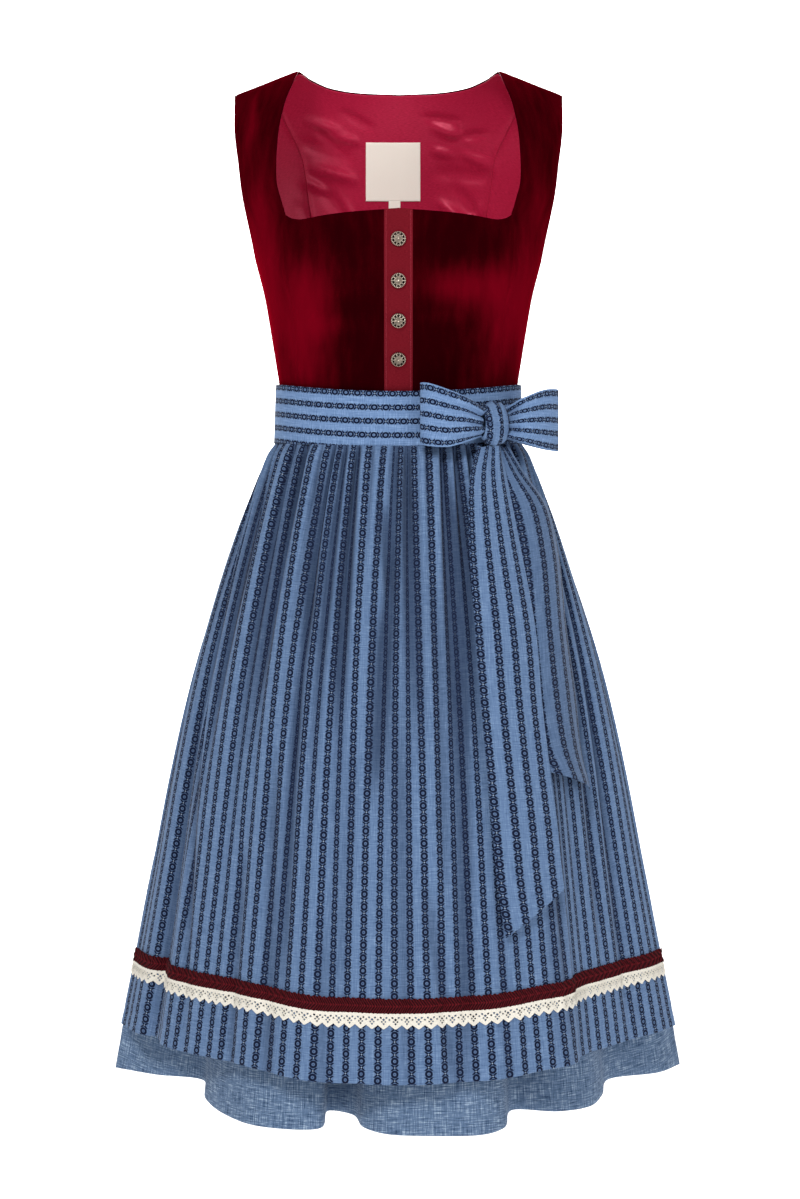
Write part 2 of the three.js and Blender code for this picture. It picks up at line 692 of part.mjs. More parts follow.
// Splits each column of a sheet into equal parts, along its flat facets.
function refineColumns(sheet, parts) {
  return sheet.map((row) => {
    const nodes = [];
    for (let j = 0; j < row.length - 1; j += 1) {
      for (let k = 0; k < parts; k += 1) {
        const point = row[j].point.clone().lerp(row[j + 1].point, k / parts);
        const normal = row[j].normal.clone().lerp(row[j + 1].normal, k / parts).normalize();
        nodes.push({ point, normal });
      }
    }
    nodes.push(row[row.length - 1]);
    return nodes;
  });
}

// A closed wall of cloth. Its outer face is the sheet raised by proud, and its inner face lies
// a thickness behind that.
function wallGeometry(sheet, proud, thickness) {
  const rows = sheet.length;
  const columns = sheet[0].length;
  const positions = [];
  for (const offset of [proud, proud - thickness]) {
    for (const row of sheet) {
      for (const { point, normal } of row) {
        positions.push(...point.clone().addScaledVector(normal, offset).toArray());
      }
    }
  }
  const outer = (i, j) => i * columns + j;
  const inner = (i, j) => rows * columns + i * columns + j;
  const indices = [];
  const quad = (a, b, c, d) => indices.push(a, b, c, a, c, d);
  for (let i = 0; i < rows - 1; i += 1) {
    for (let j = 0; j < columns - 1; j += 1) {
      quad(outer(i, j), outer(i + 1, j), outer(i + 1, j + 1), outer(i, j + 1));
      quad(inner(i, j), inner(i, j + 1), inner(i + 1, j + 1), inner(i + 1, j));
    }
    quad(outer(i, 0), inner(i, 0), inner(i + 1, 0), outer(i + 1, 0));
    quad(outer(i + 1, columns - 1), inner(i + 1, columns - 1), inner(i, columns - 1), outer(i, columns - 1));
  }
  for (let j = 0; j < columns - 1; j += 1) {
    quad(outer(0, j + 1), inner(0, j + 1), inner(0, j), outer(0, j));
    quad(outer(rows - 1, j), inner(rows - 1, j), inner(rows - 1, j + 1), outer(rows - 1, j + 1));
  }
  const geometry = new THREE.BufferGeometry();
  geometry.setAttribute('position', new THREE.Float32BufferAttribute(positions, 3));
  geometry.setIndex(indices);
  return outwardFaces(geometry);
}

// Turns a closed mesh inside out if its faces point in.
function outwardFaces(geometry) {
  const position = geometry.getAttribute('position');
  const index = geometry.getIndex();
  const a = new THREE.Vector3();
  const b = new THREE.Vector3();
  const c = new THREE.Vector3();
  let volume = 0;
  for (let i = 0; i < index.count; i += 3) {
    a.fromBufferAttribute(position, index.getX(i));
    b.fromBufferAttribute(position, index.getX(i + 1));
    c.fromBufferAttribute(position, index.getX(i + 2));
    volume += a.dot(b.cross(c));
  }
  if (volume < 0) {
    for (let i = 0; i < index.count; i += 3) {
      const first = index.getX(i);
      index.setX(i, index.getX(i + 2));
      index.setX(i + 2, first);
    }
  }
  return geometry;
}

const FINISHES = {
  velvet: { color: 0x5a0413, roughness: 0.95 },
  lining: { color: 0xa3203f, roughness: 0.45 },
  placket: { color: 0x75202a, roughness: 0.85 },
  chambray: { color: 0x6b86ab, roughness: 0.9 },
  apron: { color: 0x4f6d9c, roughness: 0.85 },
  braid: { color: 0x4d1117, roughness: 0.9 },
  lace: { color: 0xe2e0d8, roughness: 0.9 },
  label: { color: 0xeee2d5, roughness: 0.8 },
  silver: { color: 0x8d877c, roughness: 0.4, metalness: 0.9 },
};

const garment = new THREE.Group();

function addPiece(name, geometry, finish) {
  const mesh = new THREE.Mesh(geometry, new THREE.MeshStandardMaterial(FINISHES[finish]));
  mesh.name = name;
  garment.add(mesh);
  return mesh;
}

// The bodice.
const SIDES = [{ name: 'left', side: 1 }, { name: 'right', side: -1 }];
for (const { name, side } of SIDES) {
  const centre = trimSeams(frontCentreSheet(side), ['last']);
  addPiece(`bodice_front_centre_${name}`, wallGeometry(centre, 0, VELVET), 'velvet');
  const front = trimSeams(sidePanelSheet(-1, side), ['first', 'top']);
  trimSideSeam(front);
  addPiece(`bodice_side_front_${name}`, wallGeometry(front, 0, VELVET), 'velvet');
  const back = trimSeams(sidePanelSheet(1, side), ['first', 'top']);
  trimSideSeam(back);
  addPiece(`bodice_side_back_${name}`, wallGeometry(back, 0, VELVET), 'velvet');
  const liningOffset = -VELVET - LAYER_GAP;
  addPiece(`lining_side_back_${name}`, wallGeometry(back, liningOffset, LINING), 'lining');
}
const backCentre = trimSeams(backCentreSheet(), ['first', 'last', 'top']);
addPiece('bodice_back_centre', wallGeometry(backCentre, 0, VELVET), 'velvet');
addPiece('lining_back_centre', wallGeometry(backCentre, -VELVET - LAYER_GAP, LINING), 'lining');

addPiece('placket', wallGeometry(placketSheet(), PLACKET_PROUD, COTTON), 'placket');

const labelOffset = -VELVET - LINING - 2 * LAYER_GAP - LABEL_STAND;
addPiece('label', wallGeometry(backPatchSheet(LABEL), labelOffset, LINING), 'label');
addPiece('size_tab', wallGeometry(backPatchSheet(SIZE_TAB), labelOffset, LINING), 'label');

// The four domed buttons, each square to the placket.
BUTTON_DROPS.forEach((height, index) => {
  const ridge = NECK_POINT_X * NECK_SLOPE;
  const inUpper = height < UNDERARM_DROP;
  const drop = inUpper ? (height + ridge) / (1 + ridge / UNDERARM_DROP) : height;
  const { point, normal } = bodiceNode(-1, 1, 0, drop);
  const profile = BUTTON_PROFILE.map(({ radius, height: z }) => (
    new THREE.Vector2(radius * BUTTON_RADIUS, z)
  ));
  profile.unshift(new THREE.Vector2(0, 0));
  profile.push(new THREE.Vector2(0, BUTTON_CROWN));
  const geometry = new THREE.LatheGeometry(profile, BUTTON_SIDES);
  const mesh = addPiece(`button_${index + 1}`, geometry, 'silver');
  mesh.quaternion.setFromUnitVectors(new THREE.Vector3(0, 1, 0), normal);
  mesh.position.copy(point).addScaledVector(normal, PLACKET_PROUD + LAYER_GAP + BUTTON_SHANK);
});

// The skirt: four widths, joined at the centre front, the sides and the centre back.
const skirt = skirtSheet();
const SKIRT_WIDTHS = [
  { name: 'front_right', columns: SKIRT_FRONT_GATHERS },
  { name: 'front_left', columns: SKIRT_FRONT_GATHERS },
  { name: 'back_left', columns: SKIRT_BACK_GATHERS },
  { name: 'back_right', columns: SKIRT_BACK_GATHERS },
];
let firstColumn = 0;
for (const { name, columns } of SKIRT_WIDTHS) {
  const width = cutSheet(skirt, 0, SKIRT_FLARE.length - 1, firstColumn, firstColumn + columns);
  const trimmed = trimSeams(width, ['first', 'last']);
  addPiece(`skirt_${name}`, wallGeometry(trimmed, CHAMBRAY, CHAMBRAY), 'chambray');
  firstColumn += columns;
}

// The apron with its braid and its scalloped lace.
const apron = apronSheet();
addPiece('apron', wallGeometry(apron, APRON_CLOTH, APRON_CLOTH), 'apron');

// The trims lie on the apron's outer face.
const trimStand = APRON_CLOTH + LAYER_GAP + TRIM_CLOTH;
const braid = trimSeams(cutSheet(apron, BRAID_ROW, BRAID_ROW + 1, 0, 2 * APRON_GATHERS), ['foot']);
addPiece('braid', wallGeometry(braid, trimStand, TRIM_CLOTH), 'braid');
const laceBand = cutSheet(apron, LACE_ROW, LACE_ROW + 1, 0, 2 * APRON_GATHERS);
const lace = refineColumns(trimSeams(laceBand, ['top']), 2);
lace[1].forEach((node, column) => {
  node.point = lace[0][column].point.clone().lerp(node.point, SCALLOP[column % 2]);
});
addPiece('lace', wallGeometry(lace, trimStand, TRIM_CLOTH), 'lace');

// The waistband in front, and the ties round the back.
const bandFront = trimSeams(bandSheet(-Math.PI / 2, Math.PI / 2), ['first', 'last']);
addPiece('waistband_front', wallGeometry(bandFront, BAND_CLOTH, BAND_CLOTH), 'apron');
const bandBack = trimSeams(bandSheet(Math.PI / 2, 1.5 * Math.PI), ['first', 'last']);
addPiece('waistband_back', wallGeometry(bandBack, BAND_CLOTH, BAND_CLOTH), 'apron');

// The bow: its knot, two loops and two tails.
const knotTurn = radians(KNOT.turn);
const knot = addPiece('bow_knot', new THREE.SphereGeometry(1, KNOT_SIDES.round, KNOT_SIDES.high), 'apron');
knot.geometry.scale(KNOT.wide / 2, KNOT.high / 2, KNOT.deep / 2);
knot.geometry.rotateX(Math.PI / 2);
knot.geometry.rotateZ(knotTurn);
const knotStand = KNOT.deep / 2 + LAYER_GAP;
knot.position.set(
  KNOT.x + Math.sin(knotTurn) * knotStand,
  KNOT.y - Math.cos(knotTurn) * knotStand,
  -KNOT.drop,
);
addPiece('bow_loop_left', wallGeometry(loopSheet(LOOP_LEFT), BOW_CLOTH, BOW_CLOTH), 'apron');
addPiece('bow_loop_right', wallGeometry(loopSheet(LOOP_RIGHT), BOW_CLOTH, BOW_CLOTH), 'apron');
addPiece('bow_tail_front', wallGeometry(tailSheet(TAIL_FRONT), BOW_CLOTH, BOW_CLOTH), 'apron');
addPiece('bow_tail_back', wallGeometry(tailSheet(TAIL_BACK), BOW_CLOTH, BOW_CLOTH), 'apron');

export default garment;
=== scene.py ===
# The looks of a dirndl, filled out as it is worn: velvet bodice, gathered skirt, striped apron.
# Sizes in the tables are millimetres, with a drop measured down from the shoulder points.
# Meshes are made in metres. +Z is up, -Y is the front, +X is the wearer's left.
import math

import bpy
import numpy as np
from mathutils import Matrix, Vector
from mathutils.bvhtree import BVHTree


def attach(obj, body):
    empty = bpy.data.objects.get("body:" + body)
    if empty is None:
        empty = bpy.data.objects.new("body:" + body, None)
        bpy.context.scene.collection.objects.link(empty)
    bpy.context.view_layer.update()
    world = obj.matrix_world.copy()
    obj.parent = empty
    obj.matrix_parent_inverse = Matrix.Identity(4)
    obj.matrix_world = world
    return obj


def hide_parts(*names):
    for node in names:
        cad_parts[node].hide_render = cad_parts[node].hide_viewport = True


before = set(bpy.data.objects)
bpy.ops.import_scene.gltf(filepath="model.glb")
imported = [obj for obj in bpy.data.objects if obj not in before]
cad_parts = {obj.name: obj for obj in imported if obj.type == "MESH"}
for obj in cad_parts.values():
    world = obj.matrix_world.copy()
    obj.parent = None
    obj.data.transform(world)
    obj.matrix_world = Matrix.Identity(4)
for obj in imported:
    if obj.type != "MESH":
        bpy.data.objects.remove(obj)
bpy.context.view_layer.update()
MM, TURN = 0.001, 2 * math.pi

# --- sizes shared with the solids
VELVET, LINING, COTTON, CHAMBRAY, APRON_CLOTH = 1.5, 1.0, 1.6, 1.2, 1.0
BAND_CLOTH, BOW_CLOTH, BRAID_CLOTH, LACE_CLOTH, LABEL_CLOTH = 1.5, 1.2, 1.0, 0.7, 0.8
LAYER_GAP, SEAM_GAP = 0.3, 0.3
UNDERARM_DROP, WAIST_SEAM_DROP, SHOULDER_Y, NECK_POINT_X = 200, 345, 4, 100.5
SHOULDER_SLOPE, NECK_SLOPE, CHEST_CURVE, UPPER_BACK_CURVE = 0.39, 0.4, 1.7, 2.5
# drop, half width, depth of the front, depth of the back, squareness
SECTIONS = [
    (0, 166, 118, 100, 2.5), (40, 167.5, 118, 100, 2.5), (94, 163.5, 118, 100, 2.5),
    (126, 159.5, 118, 100, 2.5), (151, 153.5, 118, 100, 2.55), (175, 147, 118, 100, 2.6),
    (200, 140.5, 118, 100, 2.6), (230, 133, 116, 98, 2.6), (265, 127, 106, 93, 2.45),
    (290, 123, 96, 88, 2.3), (316, 119, 87, 84.5, 2.15), (345, 116, 83, 83, 2.1)
]
# drop, x
NECK_SIDE = [
    (0, 100.5), (14.5, 105), (38, 113), (74, 118.5), (103, 119.5), (118, 119), (138, 114.5),
    (156, 109.3)
]
FRONT_SEAM = [(156, 109.3), (170, 111.5), (209, 111.5), (238, 104), (271, 100), (318, 97.3), (345, 96)]
BACK_SEAM = [
    (0, 131), (34, 118.5), (82, 100), (119, 95), (160, 88), (200, 80), (240, 72), (280, 66), (316, 62),
    (345, 60)
]
# x, drop
NECK_FOOT = [(0, 161), (47, 160.4), (70, 161), (93.5, 162.5), (102, 160.6), (109.3, 156)]
BACK_NECK = [(0, 43.8), (41, 31.8), (70, 19.8), (89, 7.6), (100.5, 0), (131, 0)]
# drop, degrees in front, degrees behind
ARMHOLE = [
    (0, 80, 80), (40, 76, 76), (94, 73, 75), (126, 73, 76), (151, 75, 78), (175, 79, 82),
    (190, 84, 86), (200, 90, 90)
]
# row, inner drop, outer drop
ROWS = [
    (0, 0, 0), (1, 10, 12), (2, 30, 34), (3, 60, 70), (4, 95, 108), (5, 128, 142), (6, 156, 166),
    (7, 178, 184), (8, 200, 200), (9, 232, 232), (10, 266, 266), (11, 300, 300), (12, 345, 345)
]
PLACKET_HALF = 13
NECK_CORNER_X, NECK_CORNER_DROP, BACK_NECK_REACH = 109.3, 156, 131
BUTTON_DROPS = [182.4, 221.7, 258.6, 294.7]
LABEL = dict(left=-34, right=22.5, top=59, bottom=118.6)
SIZE_TAB = dict(left=-10, right=1.6, top=119.2, bottom=127)
BAND_TOP = dict(drop=316, dip=10, width=121.2, depth=89.6, back=86.8)
BAND_FOOT = dict(drop=373, dip=5, width=123, depth=89.6, back=89.6)
BAND_SQUARE = 2.12
# drop, share of the way to the hem
SKIRT_FLARE = [
    (345, 0), (375, .01), (402, .065), (445, .16), (500, .275), (575, .425), (680, .6), (790, .77),
    (890, .885), (1000, 1)
]
APRON_FLARE = [
    (373.3, 0), (392, .07), (422, .165), (470, .29), (535, .43), (615, .575), (705, .7), (795, .805),
    (884, .91), (895.5, .924), (908, .94), (957, 1)
]
# plan of the hems: x, y
SKIRT_FRONT_HEM = [
    (-282, 0), (-240, -26), (-192, -44), (-183, -104), (-161, -150), (-128, -184), (-74, -192),
    (-66, -138), (-42, -150), (-31, -188), (-10, -209), (31, -215), (76, -211), (96, -190),
    (107, -136), (150, -140), (180, -126), (194, -94), (206, -42), (258, -18), (282, 14)
]
SKIRT_BACK_HEM = [
    (282, 14), (276, 52), (234, 64), (226, 112), (196, 160), (156, 174), (124, 138), (98, 150),
    (88, 206), (52, 236), (8, 238), (-16, 200), (-30, 152), (-62, 148), (-84, 208), (-124, 222),
    (-160, 190), (-168, 134), (-206, 126), (-240, 100), (-246, 54), (-278, 34), (-282, 0)
]
APRON_HEM = [
    (-271, -22), (-248, -66), (-231, -76), (-222, -110), (-196, -140), (-162, -168), (-122, -203),
    (-80, -224), (-46, -225), (-12, -232), (24, -231), (58, -222), (98, -221), (130, -204),
    (157, -188), (171, -148), (198, -115), (226, -82), (252, -55), (270, -28)
]
# rise of the hem near and far from a line, and the distances between which it turns
SKIRT_HEM_RISE = (3, -6, 0, 215)
APRON_HEM_RISE = (1.5, 8.5, 50, 150)
APRON_REACH = math.radians(112)
KNOT = dict(x=85.4, y=-68.2, drop=356.5, wide=28, deep=23, high=44, turn=34.5)
# x, y, drop of the top edge, drop of the foot edge
LOOP_LEFT = [
    (106, -72.2, 342, 369), (121, -83, 332, 375), (139, -70, 324, 380), (151, -54, 322, 382),
    (155, -43, 322.5, 382), (149, -38, 324, 381), (134, -46, 328, 378), (118, -56, 334, 374),
    (102.2, -65.4, 343, 368)
]
LOOP_RIGHT = [
    (82, -87.8, 342, 369), (67, -103, 333, 374), (47, -112, 325, 379), (28, -112, 319, 378),
    (20, -104, 318.5, 376), (26, -96.5, 320, 375), (46, -92.8, 326, 375), (63, -87, 335, 371),
    (78.4, -80.6, 343, 368)
]
# left edge: drop, x, y; right edge: drop, x, y; crown
TAIL_FRONT = [
    (379, 77, -86, 379, 99, -73, 3), (408, 69, -103, 408, 104, -86, 3),
    (459, 67, -127, 459, 113, -102, 4), (553, 72, -156, 553, 129, -127, 5),
    (621, 77, -173, 621, 134, -145, 5), (677, 82, -183, 677, 140, -155, 5),
    (738, 87, -194, 734, 147, -163, 5), (790, 92, -201, 766, 150, -167, 4),
    (828, 98, -207, 790, 153, -170, 3)
]
TAIL_BACK = [
    (379.5, 92, -72, 379.5, 107, -61, 3), (405, 98, -83.5, 405, 123, -60, 6),
    (439, 106, -94.5, 439, 146, -42, 12), (483, 114, -109, 483, 156, -49, 11),
    (554, 120, -127, 554, 162, -69, 10), (618, 125, -143, 618, 170, -82, 10),
    (660, 131, -150, 672, 175, -88, 12), (684, 142, -152, 708, 183, -90, 12)
]


# --- curves and surfaces
def value(rows, at, column, key=0):
    """The smooth monotone value of a table's column."""
    rows = np.asarray(rows, float)
    k, v = rows[:, key], rows[:, column]
    at = np.clip(np.asarray(at, float), k[0], k[-1])
    span = np.diff(k)
    slope = np.diff(v) / span
    tangent = np.concatenate([slope[:1], np.zeros(len(k) - 2), slope[-1:]])
    a, b = slope[:-1], slope[1:]
    both = a * b > 0
    tangent[1:-1][both] = (2 * a * b)[both] / (a + b)[both]
    i = np.clip(np.searchsorted(k, at, side="left") - 1, 0, len(k) - 2)
    t = (at - k[i]) / span[i]
    entry = t * (1 - t) ** 2 * tangent[i] * span[i]
    leave = t * t * (t - 1) * tangent[i + 1] * span[i]
    return v[i] + (v[i + 1] - v[i]) * t * t * (3 - 2 * t) + entry + leave


def smooth(low, high, x):
    t = np.clip((np.asarray(x, float) - low) / (high - low), 0, 1)
    return t * t * (3 - 2 * t)


def mix(a, b, t):
    return a + (b - a) * t


def unit(v):
    return v / np.maximum(np.linalg.norm(v, axis=-1, keepdims=True), 1e-12)


def spline(points, t):
    """Centripetal curve through the points, at shares t of its rows."""
    p = np.asarray(points, float)
    ext = np.vstack([2 * p[0] - p[1], p, 2 * p[-1] - p[-2]])
    s = np.clip(t, 0, 1) * (len(p) - 1)
    i = np.minimum(s.astype(int), len(p) - 2)
    w = (s - i)[:, None]
    p0, p1, p2, p3 = ext[i], ext[i + 1], ext[i + 2], ext[i + 3]
    d = [np.maximum(((b - a) ** 2).sum(1), 1e-8)[:, None] ** 0.25
         for a, b in ((p0, p1), (p1, p2), (p2, p3))]
    t1 = ((p1 - p0) / d[0] - (p2 - p0) / (d[0] + d[1]) + (p2 - p1) / d[1]) * d[1]
    t2 = ((p2 - p1) / d[1] - (p3 - p1) / (d[1] + d[2]) + (p3 - p2) / d[2]) * d[1]
    c2 = -3 * p1 + 3 * p2 - 2 * t1 - t2
    c3 = 2 * p1 - 2 * p2 + t1 + t2
    return p1 + t1 * w + c2 * w ** 2 + c3 * w ** 3


def evenly(points, shares):
    """The same curve at equal steps along its length, and its length."""
    dense = spline(points, np.linspace(0, 1, 3000))
    run = np.concatenate([[0], np.cumsum(np.linalg.norm(np.diff(dense, axis=0), axis=1))])
    at = np.asarray(shares) * run[-1]
    return np.stack([np.interp(at, run, dense[:, k]) for k in range(dense.shape[1])], -1), run[-1]


def bodice_point(face, side, angle, drop):
    square, width = value(SECTIONS, drop, 4), value(SECTIONS, drop, 1)
    depth = value(SECTIONS, drop, 2 if face < 0 else 3)
    curve = CHEST_CURVE if face < 0 else UPPER_BACK_CURVE
    fall = np.minimum(drop / UNDERARM_DROP, 1)
    reach = (1 - (1 - fall) ** curve) ** (1 / curve)
    x = width * np.abs(np.sin(angle)) ** (2 / square)
    y = depth * np.abs(np.cos(angle)) ** (2 / square)
    beyond = x - NECK_POINT_X
    z = -beyond * np.where(beyond > 0, SHOULDER_SLOPE, NECK_SLOPE) * (1 - fall) - drop
    return np.stack([side * x, SHOULDER_Y * (1 - reach) + face * y * reach, z], -1)


def angle_at(x, drop):
    width, square = value(SECTIONS, drop, 1), value(SECTIONS, drop, 4)
    return np.arcsin(np.minimum(np.abs(x) / width, 1) ** (square / 2))


def normals(grid, sign=1.0, closed=False):
    """Outward directions of a grid whose rows run down and whose columns run to +X in front. The
    last column of a closed grid is its first."""
    if closed:
        grid = np.concatenate([grid[:, -2:-1], grid, grid[:, 1:2]], 1)
    out = unit(np.cross(np.gradient(grid, axis=0), np.gradient(grid, axis=1))) * sign
    return out[:, 1:-1] if closed else out


def ring(width, front, back, angle, square=BAND_SQUARE):
    s, c = np.sin(angle), np.cos(angle)
    x = np.sign(s) * width * np.abs(s) ** (2 / square)
    y = np.where(c > 0, -front, back) * np.abs(c) ** (2 / square)
    return np.stack([x, y], -1)


def lengths(grid, axis):
    """Distance run along an axis of a grid, from its start."""
    step = np.linalg.norm(np.diff(grid, axis=axis), axis=-1)
    return np.pad(np.cumsum(step, axis=axis), [(1, 0), (0, 0)] if axis == 0 else [(0, 0), (1, 0)])


def cut_of(grid):
    """Mean run across, and mean run down, of a cloth's surface in millimetres."""
    return float(lengths(grid, 1)[:, -1].mean()), float(lengths(grid, 0)[-1].mean())


def down(count, low=0.0, high=1.0):
    """Even steps down the rows of a grid."""
    return np.linspace(low, high, count)[:, None]


def along(count, low=0.0, high=1.0):
    """Even steps along the columns of a grid."""
    return np.linspace(low, high, count)[None, :]


def pair(u, v):
    """The u and v of a grid's points, from fields that may be a single row or column."""
    return np.stack(np.broadcast_arrays(u, v), -1)


def hump(away, width, power=2):
    """A soft rise, 1 in its middle and gone at about twice its width."""
    return np.exp(-np.abs(away / width) ** power)


# --- meshes
def quads(index):
    """The corners of each cell in a grid of point numbers."""
    return np.stack([index[:-1, :-1], index[1:, :-1], index[1:, 1:], index[:-1, 1:]], -1).reshape(-1, 4)


def link(name, data):
    obj = bpy.data.objects.new(name, data)
    bpy.context.scene.collection.objects.link(obj)
    return obj


def mark(obj, name, values):
    """Gives each point of a mesh a number that its material reads."""
    layer = obj.data.attributes.new(name, "FLOAT", "POINT")
    layer.data.foreach_set("value", np.ravel(values).astype(np.float32))


def finish_mesh(name, points, faces, uvs, materials, slots=None, uv_faces=None):
    mesh = bpy.data.meshes.new(name)
    mesh.vertices.add(len(points))
    mesh.vertices.foreach_set("co", (points * MM).astype(np.float32).ravel())
    mesh.loops.add(faces.size)
    mesh.loops.foreach_set("vertex_index", faces.ravel().astype(np.int32))
    mesh.polygons.add(len(faces))
    mesh.polygons.foreach_set("loop_start", np.arange(0, faces.size, 4, dtype=np.int32))
    mesh.polygons.foreach_set("loop_total", np.full(len(faces), 4, np.int32))
    corners = (faces if uv_faces is None else uv_faces).ravel()
    mesh.uv_layers.new(name="UVMap").data.foreach_set("uv", (uvs[corners] * MM).astype(np.float32).ravel())
    for material in materials:
        mesh.materials.append(material)
    if slots is not None:
        mesh.polygons.foreach_set("material_index", slots.astype(np.int32))
    mesh.polygons.foreach_set("use_smooth", np.ones(len(faces), bool))
    mesh.update(calc_edges=True)
    mesh.validate()
    obj = link(name + "_fine", mesh)
    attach(obj, "root")
    return obj


def grown(field, step, axis, end, half):
    """A field carried round the rolled edge at one end of an axis, by a step for each millimetre."""
    edge = np.take(field, [end], axis)
    more = [edge + step * math.sin(math.radians(a)) * half for a in (45, 90)]
    return np.concatenate([field] + more if end else more[::-1] + [field], axis)


def sheet_mesh(name, outer, sign, thickness, uv, materials, closed=False, keep=None, painted_shade=None):
    """A thin shell under an outer surface, with rolled edges. keep masks the cells that stay, and
    the last argument gives each point's painted shade: how much its colour darkens."""
    half = thickness / 2
    normal = normals(outer, sign, closed)
    middle = outer - normal * half
    levels = [np.zeros(outer.shape[0]), np.zeros(outer.shape[1])]
    for axis in (0,) if closed else (0, 1):
        for end, beside in ((0, 1), (-1, -2)):
            out, away = (unit(np.take(field, [end], axis) - np.take(field, [beside], axis))
                         for field in (middle, uv))
            middle, uv = grown(middle, out, axis, end, half), grown(uv, away, axis, end, half)
            normal = grown(normal, 0.0, axis, end, half)
        levels[axis] = np.concatenate([[2, 1], np.zeros(outer.shape[axis]), [1, 2]])
    level = np.maximum(levels[0][:, None], levels[1][None, :])
    lift = (np.cos(np.radians(45 * level)) * half)[..., None]
    index = np.arange(level.size).reshape(level.shape)
    below = np.where(level > 1.5, index, index + level.size)
    points = np.stack([middle + normal * lift, middle - normal * lift]).reshape(-1, 3)
    upper, lower = quads(index), quads(below)[:, ::-1]
    if keep is not None:
        stays = np.pad(keep, 2, constant_values=True).ravel()
        upper, lower = upper[stays], lower[stays]
    uv_faces = np.concatenate([upper, lower])[:, ::1 if sign > 0 else -1]
    faces = uv_faces
    if closed:
        same = np.arange(2 * level.size)
        columns = same.reshape(-1, level.shape[1])
        same[columns[:, -1].copy()] = columns[:, 0].copy()
        faces = same[uv_faces]
    used, remap = np.unique(faces, return_inverse=True)
    slots = np.repeat([0, min(1, len(materials) - 1)], [len(upper), len(lower)])
    obj = finish_mesh(name, points[used], remap.reshape(faces.shape), np.tile(uv.reshape(-1, 2), (2, 1)),
                      materials, slots, uv_faces)
    if painted_shade is not None:
        mark(obj, "painted_shade", np.tile(np.pad(painted_shade, 2, mode="edge").ravel(), 2)[used])
    return obj


def declare(obj, node, slot, cut, held, rests=(), **more):
    """Hides the node that a piece stands in for. Its flat cut, given in millimetres, is turned into metres
    but not kept.
    """
    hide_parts(node)
    [c * MM for c in cut]


def cloth(name, slot, finish, grid, thickness, uv, cut, held, rests=(), sign=1, closed=False,
          keep=None, painted_shade=None, **more):
    """A sheet of cloth standing in for its node. finish names its materials, the outside first."""
    materials = [MAT[key] for key in finish.split()]
    obj = sheet_mesh(name, grid, sign, thickness, uv, materials, closed, keep, painted_shade)
    declare(obj, name, slot, cut, held, rests, **more)
    return obj


# --- materials
def linear(r, g, b):
    c = np.array([r, g, b]) / 255
    c = np.where(c <= 0.04045, c / 12.92, ((c + 0.055) / 1.055) ** 2.4)
    return (float(c[0]), float(c[1]), float(c[2]), 1.0)


class Signal:
    """A node's output, which plain arithmetic joins to numbers and to other outputs."""

    def __init__(self, finish, socket):
        self.finish, self.socket = finish, socket

    def __rsub__(self, other):
        return self.finish.math("SUBTRACT", other, self)


for sign, kind in (("add", "ADD"), ("sub", "SUBTRACT"), ("mul", "MULTIPLY"), ("truediv", "DIVIDE"),
                   ("abs", "ABSOLUTE")):
    setattr(Signal, f"__{sign}__", lambda a, b=0.0, kind=kind: a.finish.math(kind, a, b))


class Finish:
    """A material whose nodes are made by short calls. Inputs are numbers, colours or signals."""

    def __init__(self, name, roughness=0.8, **sockets):
        self.material = bpy.data.materials.new(name)
        self.material.use_nodes = True
        self.tree = self.material.node_tree
        self.look(Roughness=roughness, **sockets)

    def look(self, **inputs):
        self.fill(self.tree.nodes["Principled BSDF"], inputs)

    def fill(self, node, inputs):
        """Sets or links the inputs, each given by its name or by _ and its number."""
        for key, v in inputs.items():
            socket = node.inputs[int(key[1:]) if key[1:].isdigit() else key.replace("_", " ")]
            if isinstance(v, Signal):
                self.tree.links.new(v.socket, socket)
            else:
                socket.default_value = v

    def node(self, kind, out=0, settings=None, **inputs):
        node = self.tree.nodes.new("ShaderNode" + kind)
        for key, v in (settings or {}).items():
            setattr(node, key, v)
        self.fill(node, inputs)
        return Signal(self, node.outputs[out])

    def math(self, kind, a, b=0.0):
        return self.node("Math", settings=dict(operation=kind), _0=a, _1=b)

    def fract(self, a):
        return self.math("FRACT", a)

    def step(self, low, high, x, at_low=0.0, at_high=1.0):
        return self.node("MapRange", settings=dict(interpolation_type="SMOOTHSTEP"),
                         _0=x, _1=low, _2=high, _3=at_low, _4=at_high)

    def blend(self, share, *colors):
        """A mix of two colours, each a signal or a triple from 0 to 255."""
        a, b = (c if isinstance(c, Signal) else linear(*c) for c in colors)
        return self.node("Mix", out=2, settings=dict(data_type="RGBA"), _0=share, _6=a, _7=b)

    def point_value(self, name):
        return self.node("Attribute", out=2, settings=dict(attribute_name=name))

    def uv(self):
        """u and v of the cloth in millimetres."""
        at = self.node("TexCoord", out=2)
        return [self.node("SeparateXYZ", out=k, _0=at) * 1000.0 for k in (0, 1)]

    def noise(self, u, v, su, sv, detail=3.0, rough=0.55):
        at = self.node("CombineXYZ", X=u * su, Y=v * sv)
        return self.node("TexNoise", Vector=at, Scale=1.0, Detail=detail, Roughness=rough)

    def done(self, color, height=None, strength=0.0, distance=0.0):
        """Sets the colour and the bump, and gives the material."""
        self.look(Base_Color=color)
        if height:
            self.look(Normal=self.node("Bump", Height=height, Strength=strength, Distance=distance))
        return self.material


